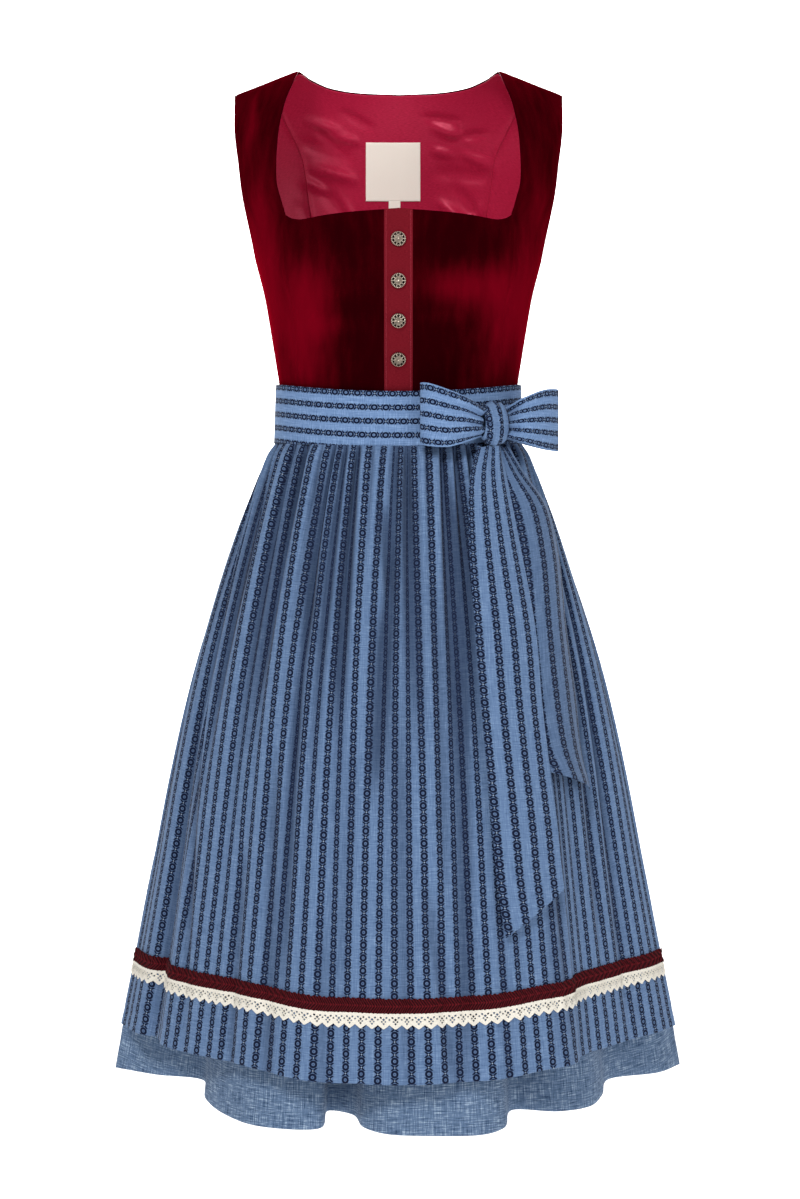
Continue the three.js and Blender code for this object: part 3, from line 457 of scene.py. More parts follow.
def velvet_finish():
    f = Finish("velvet", 0.9, Sheen_Weight=0.5, Sheen_Roughness=0.3,
               Sheen_Tint=linear(200, 8, 34), Specular_IOR_Level=0.0)
    u, v = f.uv()
    pile = f.noise(u, v, 1.3, 0.35, 2.0)
    # The tone mixes the painted sheen and shade by place with random unevenness of the pile.
    tone = f.point_value("nap_and_painted_light") + (f.noise(u, v, 0.022, 0.016, 2.0) - 0.5) * 0.34
    tone = tone + (pile - 0.5) * 0.10 + (f.noise(u, v, 0.11, 0.025) - 0.5) * 0.46
    # Painted sheen: the colour is lighter where the velvet turns away from the view.
    tone = tone + f.node("LayerWeight", out=1, Blend=0.42) * 0.14
    return f.done(f.blend(f.step(0.0, 1.0, tone), (36, 0, 3), (108, 2, 19)), pile, 0.22, 0.0004)


def lining_finish():
    f = Finish("lining", 0.36, Sheen_Weight=0.08, Sheen_Roughness=0.4, Specular_IOR_Level=0.6,
               Anisotropic=0.5, Specular_Tint=linear(255, 130, 155), Sheen_Tint=linear(255, 60, 100))
    threads = f.noise(*f.uv(), 0.25, 2.6, 2.0)
    return f.done(f.blend(f.step(0.3, 0.7, threads), (156, 18, 50), (188, 34, 70)), threads, 0.12, 0.0003)


def cotton_finish(name, dark, light, fine=2.2, long=0.5):
    f = Finish(name, 0.86, Specular_IOR_Level=0.0)
    weft = f.noise(*f.uv(), long, fine)
    return f.done(f.blend(f.step(0.32, 0.68, weft), dark, light), weft, 0.35, 0.0004)


def chambray_ground(f, u, v, low, mid, high):
    """A fine woven ground with uneven threads both ways: its colour and its relief."""
    weave = f.noise(u, v, 0.07, 0.95, 4.0, 0.68) * 0.55 + f.noise(u, v, 0.95, 0.05, 4.0, 0.68) * 0.45
    shade = f.blend(f.step(0.36, 0.5, weave), low, mid)
    return f.blend(f.step(0.5, 0.64, weave), shade, high), weave


def chambray_finish():
    f = Finish("chambray", 0.88, Sheen_Weight=0.06, Sheen_Roughness=0.5, Specular_IOR_Level=0.06)
    color, weave = chambray_ground(f, *f.uv(), (34, 52, 80), (90, 112, 142), (168, 187, 207))
    return f.done(color, weave, 0.35, 0.0004)


def braid_finish():
    """Twisted yarns laid in arrows along the braid, with a paler cord down its middle."""
    f = Finish("braid_yarn", 0.8, Specular_IOR_Level=0.1)
    u, v = f.uv()
    yarn = abs(f.fract(u / 2.4 + abs(v) / 3.6) - 0.5)
    cord = f.step(0.3, 1.1, abs(v), 0.22, 0.0)
    tone = yarn * 1.3 + (f.noise(u, v, 1.3, 1.3) - 0.5) * 0.7 + cord
    return f.done(f.blend(f.step(0.05, 0.85, tone), (28, 1, 5), (100, 19, 28)), tone, 0.8, 0.0006)


STRIPE_PITCH, MOTIF_PITCH, FOLD_SHADE = 15.0, 11.4, 0.7
RING_RADIUS, ARM_SLOPE = 2.42, 1.1
GROUND_TONES = [(72, 95, 130), (95, 120, 156), (124, 149, 184)]


def apron_finish(name="apron_cloth", swap=False, painted_light_gain=1.0):
    """The striped cloth. Each stripe is a chain of ringed dots and crossed arms, and its
    neighbours' rings lie beside its crosses."""
    f = Finish(name, 0.84, Sheen_Weight=0.06, Sheen_Roughness=0.5, Specular_IOR_Level=0.08)
    u, v = f.uv()[::-1] if swap else f.uv()
    run = u / STRIPE_PITCH
    odd = f.fract(f.math("FLOOR", run) / 2.0)
    x = abs((f.fract(run) - 0.5) * STRIPE_PITCH)
    y = abs((f.fract(v / MOTIF_PITCH + odd) - 0.5) * MOTIF_PITCH)
    back = MOTIF_PITCH / 2 - y
    radius = f.math("SQRT", x * x + y * y)
    band = f.step(0.82, 1.1, abs(radius - RING_RADIUS), 1.0, 0.0)
    dot = f.step(0.3, 0.7, radius, 0.75, 0.0)
    arms = f.step(0.9, 1.3, abs(x - back * ARM_SLOPE), 1.0, 0.0) * f.step(2.6, 3.0, back, 1.0, 0.0)
    navy = f.math("MAXIMUM", f.math("MAXIMUM", band, dot), arms)
    ground, weave = chambray_ground(f, u, v, *[[painted_light_gain * c for c in tone] for tone in GROUND_TONES])
    color = f.blend(f.step(2.9, 3.6, x, 0.34, 0.0), ground, (34, 52, 90))
    color = f.blend(navy * 0.98, color, (6, 13, 38))
    color = f.blend(f.step(0.5, 0.95, x + back, 0.75, 0.0), color, (165, 184, 208))
    # Painted shade: the colour darkens towards dark blue in the hollows of the gathers and valleys, and over
    # the whole back tail.
    shade = f.step(0.0, 1.0, f.point_value("painted_shade"), 0.0, FOLD_SHADE)
    return f.done(f.blend(shade, color, (22, 32, 58)), weave * 0.7 + navy * 0.5, 0.35, 0.0004)


def silver_finish():
    f = Finish("antique_silver", 0.36, Metallic=1.0)
    tone = f.point_value("high") + (f.node("TexNoise", Scale=900.0, Detail=3.0) - 0.5) * 0.3
    f.look(Roughness=f.step(0.1, 0.8, tone, 0.62, 0.3))
    return f.done(f.blend(f.step(0.3, 0.72, tone), (10, 7, 5), (224, 208, 190)))


MAT = dict(
    velvet=velvet_finish(), lining=lining_finish(), chambray=chambray_finish(),
    # Painted light: the waistband and bow loops use the apron's cloth with its tones 1.13 times lighter.
    apron=apron_finish(), band=apron_finish("band_cloth", swap=True, painted_light_gain=1.13),
    placket=cotton_finish("placket_cotton", (92, 15, 26), (118, 26, 36)),
    thread=cotton_finish("placket_thread", (132, 34, 48), (168, 60, 74), 1.0, 1.0),
    braid=braid_finish(),
    lace=cotton_finish("lace_cotton", (214, 208, 196), (240, 235, 224), 1.6, 1.6),
    label=cotton_finish("label_cloth", (253, 245, 231), (255, 251, 240), 1.6, 1.6),
    silver=silver_finish(),
)


# --- bodice
def creases(points, rows):
    """Soft troughs and ridges: x and drop of both ends, width and height (minus is a trough)."""
    x, drop = points[..., 0], -points[..., 2]
    total = np.zeros(x.shape)
    for x0, d0, x1, d1, width, height in rows:
        ax, ad = x1 - x0, d1 - d0
        run = ax * ax + ad * ad
        t = ((x - x0) * ax + (drop - d0) * ad) / run
        away = np.hypot(x - x0 - ax * t, drop - d0 - ad * t)
        beyond = np.maximum(np.maximum(-t, t - 1), 0) * math.sqrt(run)
        ends = 1 - 0.55 * np.abs(2 * np.clip(t, 0, 1) - 1) ** 2
        total += height * ends * hump(away, width) * hump(beyond, 1.3 * width)
    return total


FRONT_CREASES = [
    (-58, 232, -92, 262, 9, 1.6), (60, 236, 96, 268, 10, 1.5), (-30, 268, -84, 290, 7, -1.2),
    (34, 262, 88, 284, 8, -1.2), (-128, 190, -104, 222, 6, 1.4), (126, 188, 103, 224, 7, 1.3),
    (-140, 60, -136, 128, 7, 1.3), (140, 66, 134, 122, 8, 1.1), (-26, 300, -80, 322, 6, 1.0),
    (30, 304, 84, 318, 6, -1.0), (-120, 262, -108, 330, 5, 0.9), (118, 256, 108, 326, 5, 0.9)
]
BACK_CREASES = [
    (-104, 88, -40, 120, 9, 1.4), (100, 80, 36, 128, 8, 1.3), (-60, 200, -20, 250, 8, -1.1),
    (64, 206, 22, 262, 9, -1.0), (-118, 210, -84, 256, 7, 1.2), (120, 214, 86, 248, 7, 1.1),
    (-50, 284, 44, 292, 6, -0.9), (-70, 310, 68, 306, 6, 0.9)
]
LINING_WRINKLES = [
    (-92, 40, -62, 47, 5, -2.2), (-96, 62, -54, 74, 7, 2.1), (-70, 52, -34, 60, 5, -1.9),
    (-88, 86, -48, 96, 6, -2.2), (-78, 108, -46, 142, 8, 2.2), (-62, 118, -38, 150, 6, -2.0),
    (40, 44, 72, 58, 6, -2.0), (58, 56, 88, 52, 5, 1.8), (34, 66, 56, 72, 5, -1.7),
    (60, 108, 84, 138, 7, 2.1), (46, 122, 76, 148, 6, -2.0), (84, 128, 70, 158, 5, -1.8),
    (-40, 134, 10, 144, 7, 1.4), (-104, 130, -84, 156, 5, 1.8), (-56, 30, -30, 44, 5, 1.6),
    (-84, 50, -66, 64, 4, 1.5), (44, 90, 90, 96, 7, 1.6), (-98, 100, -70, 112, 5, -1.6),
    (66, 70, 96, 84, 5, -1.5), (30, 34, 60, 38, 5, 1.3), (30, 140, 60, 156, 6, -1.6)
]
# The velvet's tone by place, partly its uneven pile and partly painted sheen and painted shade: x, drop,
# reach across, reach down, strength (minus is dark)
FRONT_NAP_AND_PAINTED_LIGHT = [
    (-90, 243, 26, 46, .62), (-97, 296, 24, 42, .34), (60, 226, 46, 20, .46), (100, 250, 17, 55, .44),
    (92, 301, 24, 42, .10), (-132, 190, 15, 50, .50), (-123, 254, 12, 60, .36),
    (128, 195, 14, 52, .30), (119, 262, 12, 58, .36), (-143, 52, 5, 30, .30), (-149, 84, 5, 30, .26),
    (-136, 140, 14, 42, .24), (137, 142, 12, 42, .18), (-53, 181, 36, 22, -.16),
    (56, 183, 46, 24, -.22), (-35, 248, 24, 24, -.12), (-33, 300, 26, 42, -.14),
    (27, 276, 16, 62, -.22), (54, 302, 26, 30, -.10), (-64, 262, 26, 9, .22), (38, 256, 30, 8, .12)
]
BACK_NAP_AND_PAINTED_LIGHT = [
    (-70, 180, 40, 60, .4), (74, 190, 36, 66, .36), (0, 130, 50, 40, .2), (-40, 290, 40, 30, .3),
    (46, 300, 34, 30, .26), (-120, 240, 16, 60, .4), (120, 240, 16, 60, .4), (0, 220, 14, 80, -.1)
]
# Where the label lies, so that the wrinkles lie round it: x and drop of its middle, half sizes
LABEL_REST = (-6, 92, 30, 36)
# thickness, slot, finish, creases, the velvet's tone by place (uneven pile with painted sheen and shade) and
# its even part
LINED = (VELVET, "velvet", "velvet lining", FRONT_CREASES, FRONT_NAP_AND_PAINTED_LIGHT, 0.16)
BACK = (VELVET, "velvet", "velvet", BACK_CREASES, BACK_NAP_AND_PAINTED_LIGHT, 0.2)
INSIDE = (LINING, "lining", "lining", LINING_WRINKLES, None, 0)
INSIDE_CENTRE = INSIDE[:3] + ([(*ends, 0.8 * w, h) for *ends, w, h in LINING_WRINKLES], None, 0)


def mirrored(grid, x):
    """The grid with its columns of negative x on the other side."""
    grid[..., 0] *= np.where(x < 0, -1, 1)
    return grid


def front_centre(side, rows, cols):
    inner, share = value(ROWS, down(rows, 6, 12), 1), along(cols)
    fall = (inner - NECK_CORNER_DROP) / (WAIST_SEAM_DROP - NECK_CORNER_DROP)
    start = PLACKET_HALF + SEAM_GAP / 2
    drop = mix(value(NECK_FOOT, mix(start, NECK_CORNER_X, share), 1), WAIST_SEAM_DROP, fall)
    x = mix(start, value(FRONT_SEAM, inner, 1), share)
    return bodice_point(-1, side, angle_at(x, drop), drop)


def side_panel(face, side, rows, cols):
    inner, outer = (value(ROWS, down(rows, 0, 12), k) for k in (1, 2))
    if face < 0:
        x = np.where(inner < NECK_CORNER_DROP, value(NECK_SIDE, inner, 1), value(FRONT_SEAM, inner, 1))
    else:
        x = value(BACK_SEAM, inner, 1)
    stop = np.radians(value(ARMHOLE, outer, 1 if face < 0 else 2))
    angle = np.minimum(mix(angle_at(x, inner), stop, along(cols)), math.pi / 2)
    return bodice_point(face, side, angle, mix(inner, outer, along(cols)))


def back_centre(rows, cols):
    inner, t = value(ROWS, down(rows, 0, 12), 1), along(cols, -1, 1)
    drop = mix(value(BACK_NECK, np.abs(t) * BACK_NECK_REACH, 1), WAIST_SEAM_DROP, inner / WAIST_SEAM_DROP)
    angle = angle_at(np.abs(t) * value(BACK_SEAM, inner, 1), drop)
    return mirrored(bodice_point(1, 1, angle, drop), t)


def drop_at(height, x):
    """The drop whose point lies at a height below the shoulder points, above the underarm."""
    ridge = (NECK_POINT_X - np.abs(x)) * NECK_SLOPE
    return (height + ridge) / (1 + ridge / UNDERARM_DROP)


def back_patch(box, rows, cols):
    x = along(cols, box["left"], box["right"])
    drop = drop_at(down(rows, box["top"], box["bottom"]), x)
    return mirrored(bodice_point(1, 1, angle_at(x, drop), drop), x)


def seam_dip(grid, columns, depth=0.55, reach=2.2):
    """Draws the cloth in beside the named edges, where it turns into its seam."""
    run = lengths(grid, 1)
    dip = np.zeros(run.shape)
    if "first" in columns:
        dip += hump(run, reach)
    if "last" in columns:
        dip += hump(run[:, -1:] - run, reach)
    return -depth * dip


def bodice_cloth(name, grid, sign, kind, dips, inset=0.0):
    thickness, slot, finish, rows, nap_and_painted_light, tone = kind
    lift = creases(grid, rows) + seam_dip(grid, dips)
    if slot == "lining":  # the wrinkles lie round the label, and stay off the velvet
        cx, cd, half_x, half_d = LABEL_REST
        beside = np.hypot(np.maximum(np.abs(grid[..., 0] - cx) - half_x, 0),
                          np.maximum(np.abs(grid[..., 2] + cd) - half_d, 0))
        lift = lift * mix(0.25, 2.1, smooth(0, 16, beside))
        lift = np.clip(lift, -4.5, inset - VELVET - LAYER_GAP - 0.1)
    outer = grid + normals(grid, sign) * (lift - inset)[..., None]
    uv = pair(lengths(grid, 1), -lengths(grid, 0))
    obj = cloth(name, slot, finish, outer, thickness, uv, cut_of(outer), "stretched", sign=sign)
    # Each point of the velvet takes its tone: uneven pile, with painted sheen and painted shade.
    if nap_and_painted_light:
        points = np.empty(len(obj.data.vertices) * 3)
        obj.data.vertices.foreach_get("co", points)
        x, y, z = points.reshape(-1, 3).T / MM
        for cx, cd, rx, rd, strength in nap_and_painted_light:
            tone = tone + strength * hump(x - cx, rx) * hump(-z - cd, rd)
        mark(obj, "nap_and_painted_light", np.clip(tone, 0, 1))


BOTH = ("first", "last")
for name, side in (("left", 1), ("right", -1)):
    bodice_cloth(f"bodice_front_centre_{name}", front_centre(side, 56, 44), side, LINED, ["last"])
    bodice_cloth(f"bodice_side_front_{name}", side_panel(-1, side, 96, 30), side, LINED, BOTH)
    bodice_cloth(f"bodice_side_back_{name}", side_panel(1, side, 80, 28), -side, BACK, BOTH)
    bodice_cloth(f"lining_side_back_{name}", side_panel(1, side, 80, 28), -side, INSIDE, ["first"],
                 VELVET + LAYER_GAP + 0.9)
bodice_cloth("bodice_back_centre", back_centre(80, 60), -1, BACK, BOTH)
bodice_cloth("lining_back_centre", back_centre(110, 96), -1, INSIDE_CENTRE, BOTH, VELVET + LAYER_GAP + 1.9)

# The placket, with a picot stitch down each edge.
side_x = along(25, -PLACKET_HALF, PLACKET_HALF)
drop = mix(value(NECK_FOOT, PLACKET_HALF, 1), WAIST_SEAM_DROP, down(90)) + 0 * side_x
strip = mirrored(bodice_point(-1, 1, angle_at(side_x, drop), drop), side_x)
strip = strip + normals(strip) * (0.6 + 0.25 * np.sin(strip[..., 2:3] / 17) ** 3)
cloth("placket", "placket_cotton", "placket", strip, COTTON,
      pair(lengths(strip, 1), -lengths(strip, 0)), cut_of(strip), "stretched")


def stitches(name, starts, ends, radius=0.3, sides=5):
    """Short rounded threads from start to end, joined in one mesh."""
    axis = unit(ends - starts)
    helper = np.where(np.abs(axis[:, 2:3]) < 0.9, [[0, 0, 1]], [[1, 0, 0]])
    a = unit(np.cross(axis, helper))
    b = np.cross(axis, a)
    turn = np.linspace(0, TURN, sides, endpoint=False)[None, :, None]
    round_it = radius * (a[:, None] * np.cos(turn) + b[:, None] * np.sin(turn))
    rings = [mix(starts, ends, share)[:, None] + size * round_it
             for share, size in ((0, .35), (.2, 1), (.8, 1), (1, .35))]
    points = np.stack(rings, 1).reshape(-1, 3)
    base = np.arange(len(starts))[:, None, None] * 4 * sides + np.arange(3)[None, :, None] * sides
    k = np.arange(sides)
    n = (k + 1) % sides
    faces = np.stack([base + k, base + n, base + sides + n, base + sides + k], -1).reshape(-1, 4)
    return finish_mesh(name, points, faces, points[:, [0, 2]], [MAT["thread"]])


starts, ends = [], []
for edge, out in ((2, -1), (22, 1)):
    run = lengths(strip, 0)[:, edge]
    at = np.arange(1.5, run[-1] - 1.5, 2.5)
    line = np.stack([np.interp(at, run, strip[:, edge, k]) for k in range(3)], -1)
    for shift, tip in ((0, -0.04), (0.9, -0.76)):
        starts.append(line + [out * 0.2, -0.15, -shift])
        ends.append(line + [out * 1.5, 0.05, tip - shift])
stitches("placket_stitches", np.concatenate(starts), np.concatenate(ends))

# The blank label and its blank size tab, woven patches inside the back. The tab is shorter than
# a sheet may be declared, so it goes with the label that it is sewn under.
patches = []
for name, box, rows, cols in (("label", LABEL, 30, 30), ("size_tab", SIZE_TAB, 8, 10)):
    patch = back_patch(box, rows, cols)
    uv = pair(along(cols, 0, box["right"] - box["left"]), -down(rows, 0, box["bottom"] - box["top"]))
    patch = patch - normals(patch, -1) * (VELVET + LINING + 2 * LAYER_GAP + 1.7)
    patches.append((sheet_mesh(name, patch, -1, LABEL_CLOTH, uv, [MAT["label"]]), cut_of(patch)))
(label, label_cut), (size_tab, _) = patches
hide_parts("size_tab")
declare(label, "label", "label_cloth", label_cut, "laid", ["lining_back_centre_fine"],
        with_pieces=[size_tab])


# --- buttons
BUTTON_RADIUS, BUTTON_TURNS, BUTTON_RINGS = 7.3, 168, 46


def button(name, height):
    """A domed shank button: a rayed flower, a pierced ring round it, and a beaded rim."""
    drop = drop_at(height, 0) if height < UNDERARM_DROP else height
    spot, under = bodice_point(-1, 1, np.zeros((1, 2)), np.array([[drop, drop + 1.0]]))[0]
    fall, across = unit(under - spot), np.array([1.0, 0, 0])
    out = unit(np.cross(fall, across))
    a = np.linspace(0, TURN, BUTTON_TURNS, endpoint=False)[None, :]
    r = down(BUTTON_RINGS) + 0 * a
    dome = 4.1 * np.sqrt(np.clip(1 - 0.80 * r ** 2, 0, 1)) - 0.7
    flower = smooth(0.13, 0.2, r) * (1 - smooth(0.56, 0.66, r))
    relief = flower * (0.62 * (0.5 + 0.5 * np.cos(20 * a)) - 0.22) + 0.4 * hump(r, 0.11)
    gap = smooth(0.56, 0.64, r) * (1 - smooth(0.76, 0.82, r))
    relief -= gap * (0.75 - np.abs(np.cos(5 * a)) ** 3)
    relief += hump(r - 0.91, 0.07) * (0.30 + 0.42 * np.cos(26 * a))
    high = np.where(r > 0.985, 0.5, dome + relief)
    local = np.stack([r * BUTTON_RADIUS * np.cos(a), r * BUTTON_RADIUS * np.sin(a), high], -1)
    local = np.concatenate([local, local[-1:] * [0.8, 0.8, 0.0]])
    local[0] = local[0].mean(0)
    base = spot + out * (0.6 + LAYER_GAP + 0.25)
    flat = (base + local @ np.array([across, -fall, out])).reshape(-1, 3)
    index = np.arange(len(flat)).reshape(-1, BUTTON_TURNS)
    faces = quads(np.concatenate([index, index[:, :1]], 1))
    obj = finish_mesh(name, flat, faces, flat[:, [0, 2]], [MAT["silver"]])
    mark(obj, "high", smooth(-0.25, 0.5, np.concatenate([relief, relief[-1:] * 0])))
    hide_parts(name)


for number, height in enumerate(BUTTON_DROPS, 1):
    button(f"button_{number}", height)


# --- skirt and apron
SKIRT_FOOT, APRON_FOOT, HEM_TURN_SKIRT, HEM_TURN_APRON = 1000, 957, 28, 14
SKIRT_WAIST, APRON_WAIST = (116, 83), (121.6, 88.6)


def hanging(hem, flare, angles, waist, shares, drops, rise, distance):
    """The plain flared surface, without gathers, as rows of drops and columns of shares. Its hem
    rises with the distance of each foot point."""
    feet, length = evenly(hem, shares)
    width, depth = waist
    level = value(flare, drops, 1)
    plan = mix(ring(width, depth, depth, angles)[None], feet[None], level[..., None])
    near, far, start, stop = rise
    z = level * mix(near, far, smooth(start, stop, distance(feet))) - drops
    return np.concatenate([plan, z[..., None]], -1), length


def uneven(count, seed):
    """Centres, strengths and reaches of gathers, uneven but always the same."""
    k = np.arange(count)
    jitter = ((k * 0.618034 + seed) % 1 - 0.5) * 0.62
    strength = 0.55 + 0.9 * ((k * 0.754877 + seed * 1.7) % 1)
    reach = 0.35 + 1.3 * ((k * 0.569840 + seed * 2.3) % 1) ** 1.5
    return (k + 0.5 + jitter) / count, strength, reach


def gathers(shares, fall, count, seed, height, length):
    """Ridges under a gathered seam: high at the seam, fading down at their own lengths."""
    total = np.zeros(np.broadcast(shares, fall).shape)
    spread = 0.30 / count * (1 + 1.1 * np.clip(fall / length, 0, 2.5))
    for centre, strength, reach in zip(*uneven(count, seed)):
        fade = hump(np.maximum(fall, 0), length * reach, 1.3) * smooth(-6, 10, fall)
        total += height * strength * fade * hump(shares - centre, spread)
    return total


def long_folds(u, drop, rows):
    """Listed folds: u and drop at both ends, width, height; they fade in and out."""
    total = np.zeros(u.shape)
    for u0, d0, u1, d1, width, height in rows:
        t = (drop - d0) / (d1 - d0)
        fade = smooth(-0.08, 0.14, t) * (1 - smooth(0.55, 1.08, t))
        spread = width * (0.75 + 0.5 * np.clip(t, 0, 1))
        total += height * fade * hump(u - mix(u0, u1, np.clip(t, -0.2, 1.2)), spread)
    return total


def skirt_half(hem, start, cols):
    shares = np.linspace(0, 1, cols)
    top = WAIST_SEAM_DROP + SEAM_GAP
    drops = top + (SKIRT_FOOT - top) * down(90) ** 1.15 + 0 * shares
    grid, length = hanging(hem, SKIRT_FLARE, start + math.pi * shares, SKIRT_WAIST, shares, drops,
                           SKIRT_HEM_RISE, lambda feet: -feet[:, 1])
    return grid, shares * length, shares, drops


front_skirt, front_run, _, _ = skirt_half(SKIRT_FRONT_HEM, -math.pi / 2, 241)
back_skirt, back_run, shares, drops = skirt_half(SKIRT_BACK_HEM, math.pi / 2, 281)
BACK_FOLDS = [
    (250, 420, 236, 700, 10, 3.6), (330, 440, 322, 780, 12, -3.2), (402, 410, 410, 690, 11, 3.8),
    (470, 430, 486, 820, 12, -3.0), (548, 415, 552, 720, 10, 3.4), (622, 440, 612, 760, 12, 3.2),
    (690, 430, 704, 700, 11, -3.0), (170, 450, 158, 720, 11, 3.0), (760, 450, 772, 740, 11, 3.0)
]
lift = gathers(shares, drops - BAND_FOOT["drop"], 40, 0.31, 4.6, 70)
lift += long_folds(back_run + 0 * drops, drops, BACK_FOLDS)
lift *= smooth(0.12, 0.24, np.minimum(shares, 1 - shares))
lift = np.pad(lift, [(0, 0), (240, 0)])
SKIRT = np.concatenate([front_skirt, back_skirt[:, 1:]], 1)
SKIRT = SKIRT + normals(SKIRT, closed=True) * (CHAMBRAY + lift)[..., None]
u_all = np.concatenate([front_run, front_run[-1] + back_run[1:]])
v_all = -lengths(SKIRT, 0)
for name, first, last in (("front_right", 0, 120), ("front_left", 120, 240), ("back_left", 240, 380),
                          ("back_right", 380, 520)):
    columns = slice(first, last + 1)
    part = SKIRT[:, columns]
    normal = normals(part)
    part = part - normal * 0.35 * hump(-part[..., 2:] - SKIRT_FOOT + HEM_TURN_SKIRT, 0.9)
    part += normal * seam_dip(part, BOTH, 0.4, 2.0)[..., None]
    area = float((lengths(part, 1)[:-1, -1] * np.diff(lengths(part, 0).mean(1))).sum())
    cloth(f"skirt_{name}", "chambray", "chambray", part, CHAMBRAY,
          pair(u_all[columns], v_all[:, columns]), (float(u_all[last] - u_all[first]), cut_of(part)[1]),
          "gathered", ["waistband_front"], area=area * MM * MM)


def surface_tree(grids):
    """A tree of the faces of some grids, for measuring how much room the cloth has to rise and sink."""
    points, faces = [], []
    for grid in grids:
        index = np.arange(grid.shape[0] * grid.shape[1]).reshape(grid.shape[:2]) + len(points)
        points.extend(grid.reshape(-1, 3).tolist())
        faces.extend(quads(index).tolist())
    return BVHTree.FromPolygons(points, faces)


def room(tree, grid, directions, limit):
    """Distance from each point of a grid to a tree's faces, along its direction."""
    found = [tree.ray_cast(Vector(p), Vector(d), limit)[3]
             for p, d in zip(grid.reshape(-1, 3), directions.reshape(-1, 3))]
    return np.array([limit if f is None else f for f in found]).reshape(grid.shape[:2])


def tail_grid(table):
    """A hanging strip between its two long edges, crowned across."""
    t, w = np.linspace(0, 1, 120), along(36)
    left, right = (spline([(r[k + 1], r[k + 2], -r[k]) for r in table], t) for k in (0, 3))
    grid = mix(left[:, None], right[:, None], w[..., None])
    crown = value([(i, r[6]) for i, r in enumerate(table)], t * (len(table) - 1), 1)[:, None]
    across = unit(right - left)
    bulge = 4 * crown * w * (1 - w)
    grid[..., 0] += bulge * across[:, None, 1]
    grid[..., 1] -= bulge * across[:, None, 0]
    return grid


# The apron hangs from its gathers. Where it is narrower than its cloth, the surplus goes into
# valleys, where the stripes close up, and the cloth between them keeps its full width.
A_COLS, A_ROWS, GATHERS = 451, 102, 20
a_shares = np.linspace(0, 1, A_COLS)
angles = mix(-APRON_REACH, APRON_REACH, a_shares)
forward = -ring(*APRON_WAIST, APRON_WAIST[1], angles)[:, 1] / APRON_WAIST[1]
a_top = BAND_FOOT["drop"] + np.where(forward > 0, 5 * np.minimum(forward, 1) ** 2, 0) + 0.72
a_drops = a_top + (APRON_FOOT - a_top) * down(A_ROWS) ** 1.25
a_fall = a_drops - a_top
APRON_BASE, APRON_LENGTH = hanging(APRON_HEM, APRON_FLARE, angles, APRON_WAIST, a_shares, a_drops,
                                   APRON_HEM_RISE, lambda feet: np.abs(feet[:, 0]))
# x and drop at the top and the foot of each long valley, its half width in cloth, its strength
VALLEYS = [
    (-101, 393, -141, 650, 7, 1.3), (-17, 440, -9, 520, 4, 1.2), (-15, 545, -24, 700, 7, 1.5),
    (-54, 420, -62, 620, 6, 1.1), (14, 420, 24, 660, 7, 1.2), (62, 430, 66, 640, 9, 1.5),
    (40, 520, 46, 800, 6, 1.0), (-84, 410, -92, 560, 6, 1.1), (-118, 700, -121, 975, 10, 1.1),
    (-158, 480, -200, 930, 7, 1.1), (30, 800, 54, 975, 8, 1.1), (66, 640, 62, 940, 8, 1.1),
    (118, 440, 156, 900, 8, 1.3), (-44, 660, -54, 900, 7, .8), (-98, 620, -106, 900, 6, .9),
    (2, 660, 8, 980, 7, .9), (150, 480, 192, 860, 7, 1.1), (-130, 420, -180, 660, 6, 1.1),
    (96, 800, 100, 985, 7, .8), (-72, 820, -70, 990, 6, .7), (-148, 780, -154, 985, 7, .9),
    (190, 620, 220, 940, 7, 1.0), (-210, 640, -232, 940, 7, .9), (132, 640, 148, 960, 6, .8)
]


def share_at(x, drop):
    """The share at which the apron passes a distance from the centre line, at a drop."""
    level = np.argmin(np.abs(a_drops[:, A_COLS // 2] - drop))
    front = slice(A_COLS // 12, -A_COLS // 12)
    return float(np.interp(x, APRON_BASE[level, front, 0], a_shares[front]))


gather_paths = [(centre, mix(0.6, 1.0, strength / 1.45) * hump(np.maximum(a_fall, 0), 230 + 330 * reach, 1.5))
                for centre, strength, reach in zip(*uneven(GATHERS, 0.17))]
drawn_in = sum(strength * hump((a_shares - centre) * APRON_LENGTH, 10.0, 3)
               for centre, strength in gather_paths)
arc = lengths(APRON_BASE, 1)
target = np.clip(arc[:, -1] / APRON_LENGTH, 0, 0.985)


def kept_width(take):
    """The share of its width that each bit of cloth keeps, when the gathers take some of it."""
    return np.clip(1 - take[:, None] * (drawn_in + 0.05), 0.05, 1)


low, high = np.zeros(A_ROWS), np.full(A_ROWS, 60.0)
for _ in range(40):
    middle = (low + high) / 2
    wider = kept_width(middle).mean(1) > target
    low, high = np.where(wider, middle, low), np.where(wider, high, middle)
kept = kept_width((low + high) / 2)
place = np.pad(np.cumsum((kept[:, 1:] + kept[:, :-1]) / 2, 1), [(0, 0), (1, 0)])
place /= place[:, -1:]
for _ in range(10):
    place[1:-1] = (place[:-2] + 2 * place[1:-1] + place[2:]) / 4
A_SHARE = np.stack([np.interp(place[i], arc[i] / arc[i, -1], a_shares) for i in range(A_ROWS)])


def on_base(field):
    """A field of the plain apron, read where each of the cloth's columns really lies."""
    return np.stack([[np.interp(A_SHARE[i], a_shares, field[i, :, j]) for j in range(3)]
                     for i in range(A_ROWS)]).transpose(0, 2, 1)


def run_of(share):
    """The distance along each row at which a share of the cloth lies."""
    return np.array([np.interp(share, a_shares, run[i]) for i in range(A_ROWS)])[:, None]


A_FLAT, A_OUT = on_base(APRON_BASE), unit(on_base(normals(APRON_BASE)))
run = place * arc[:, -1:]
narrow, deep = np.zeros(run.shape), np.zeros(run.shape)
for centre, strength in gather_paths:
    narrow += strength * hump(run - run_of(centre), 2.5 + 4.5 * smooth(0, 330, a_fall))
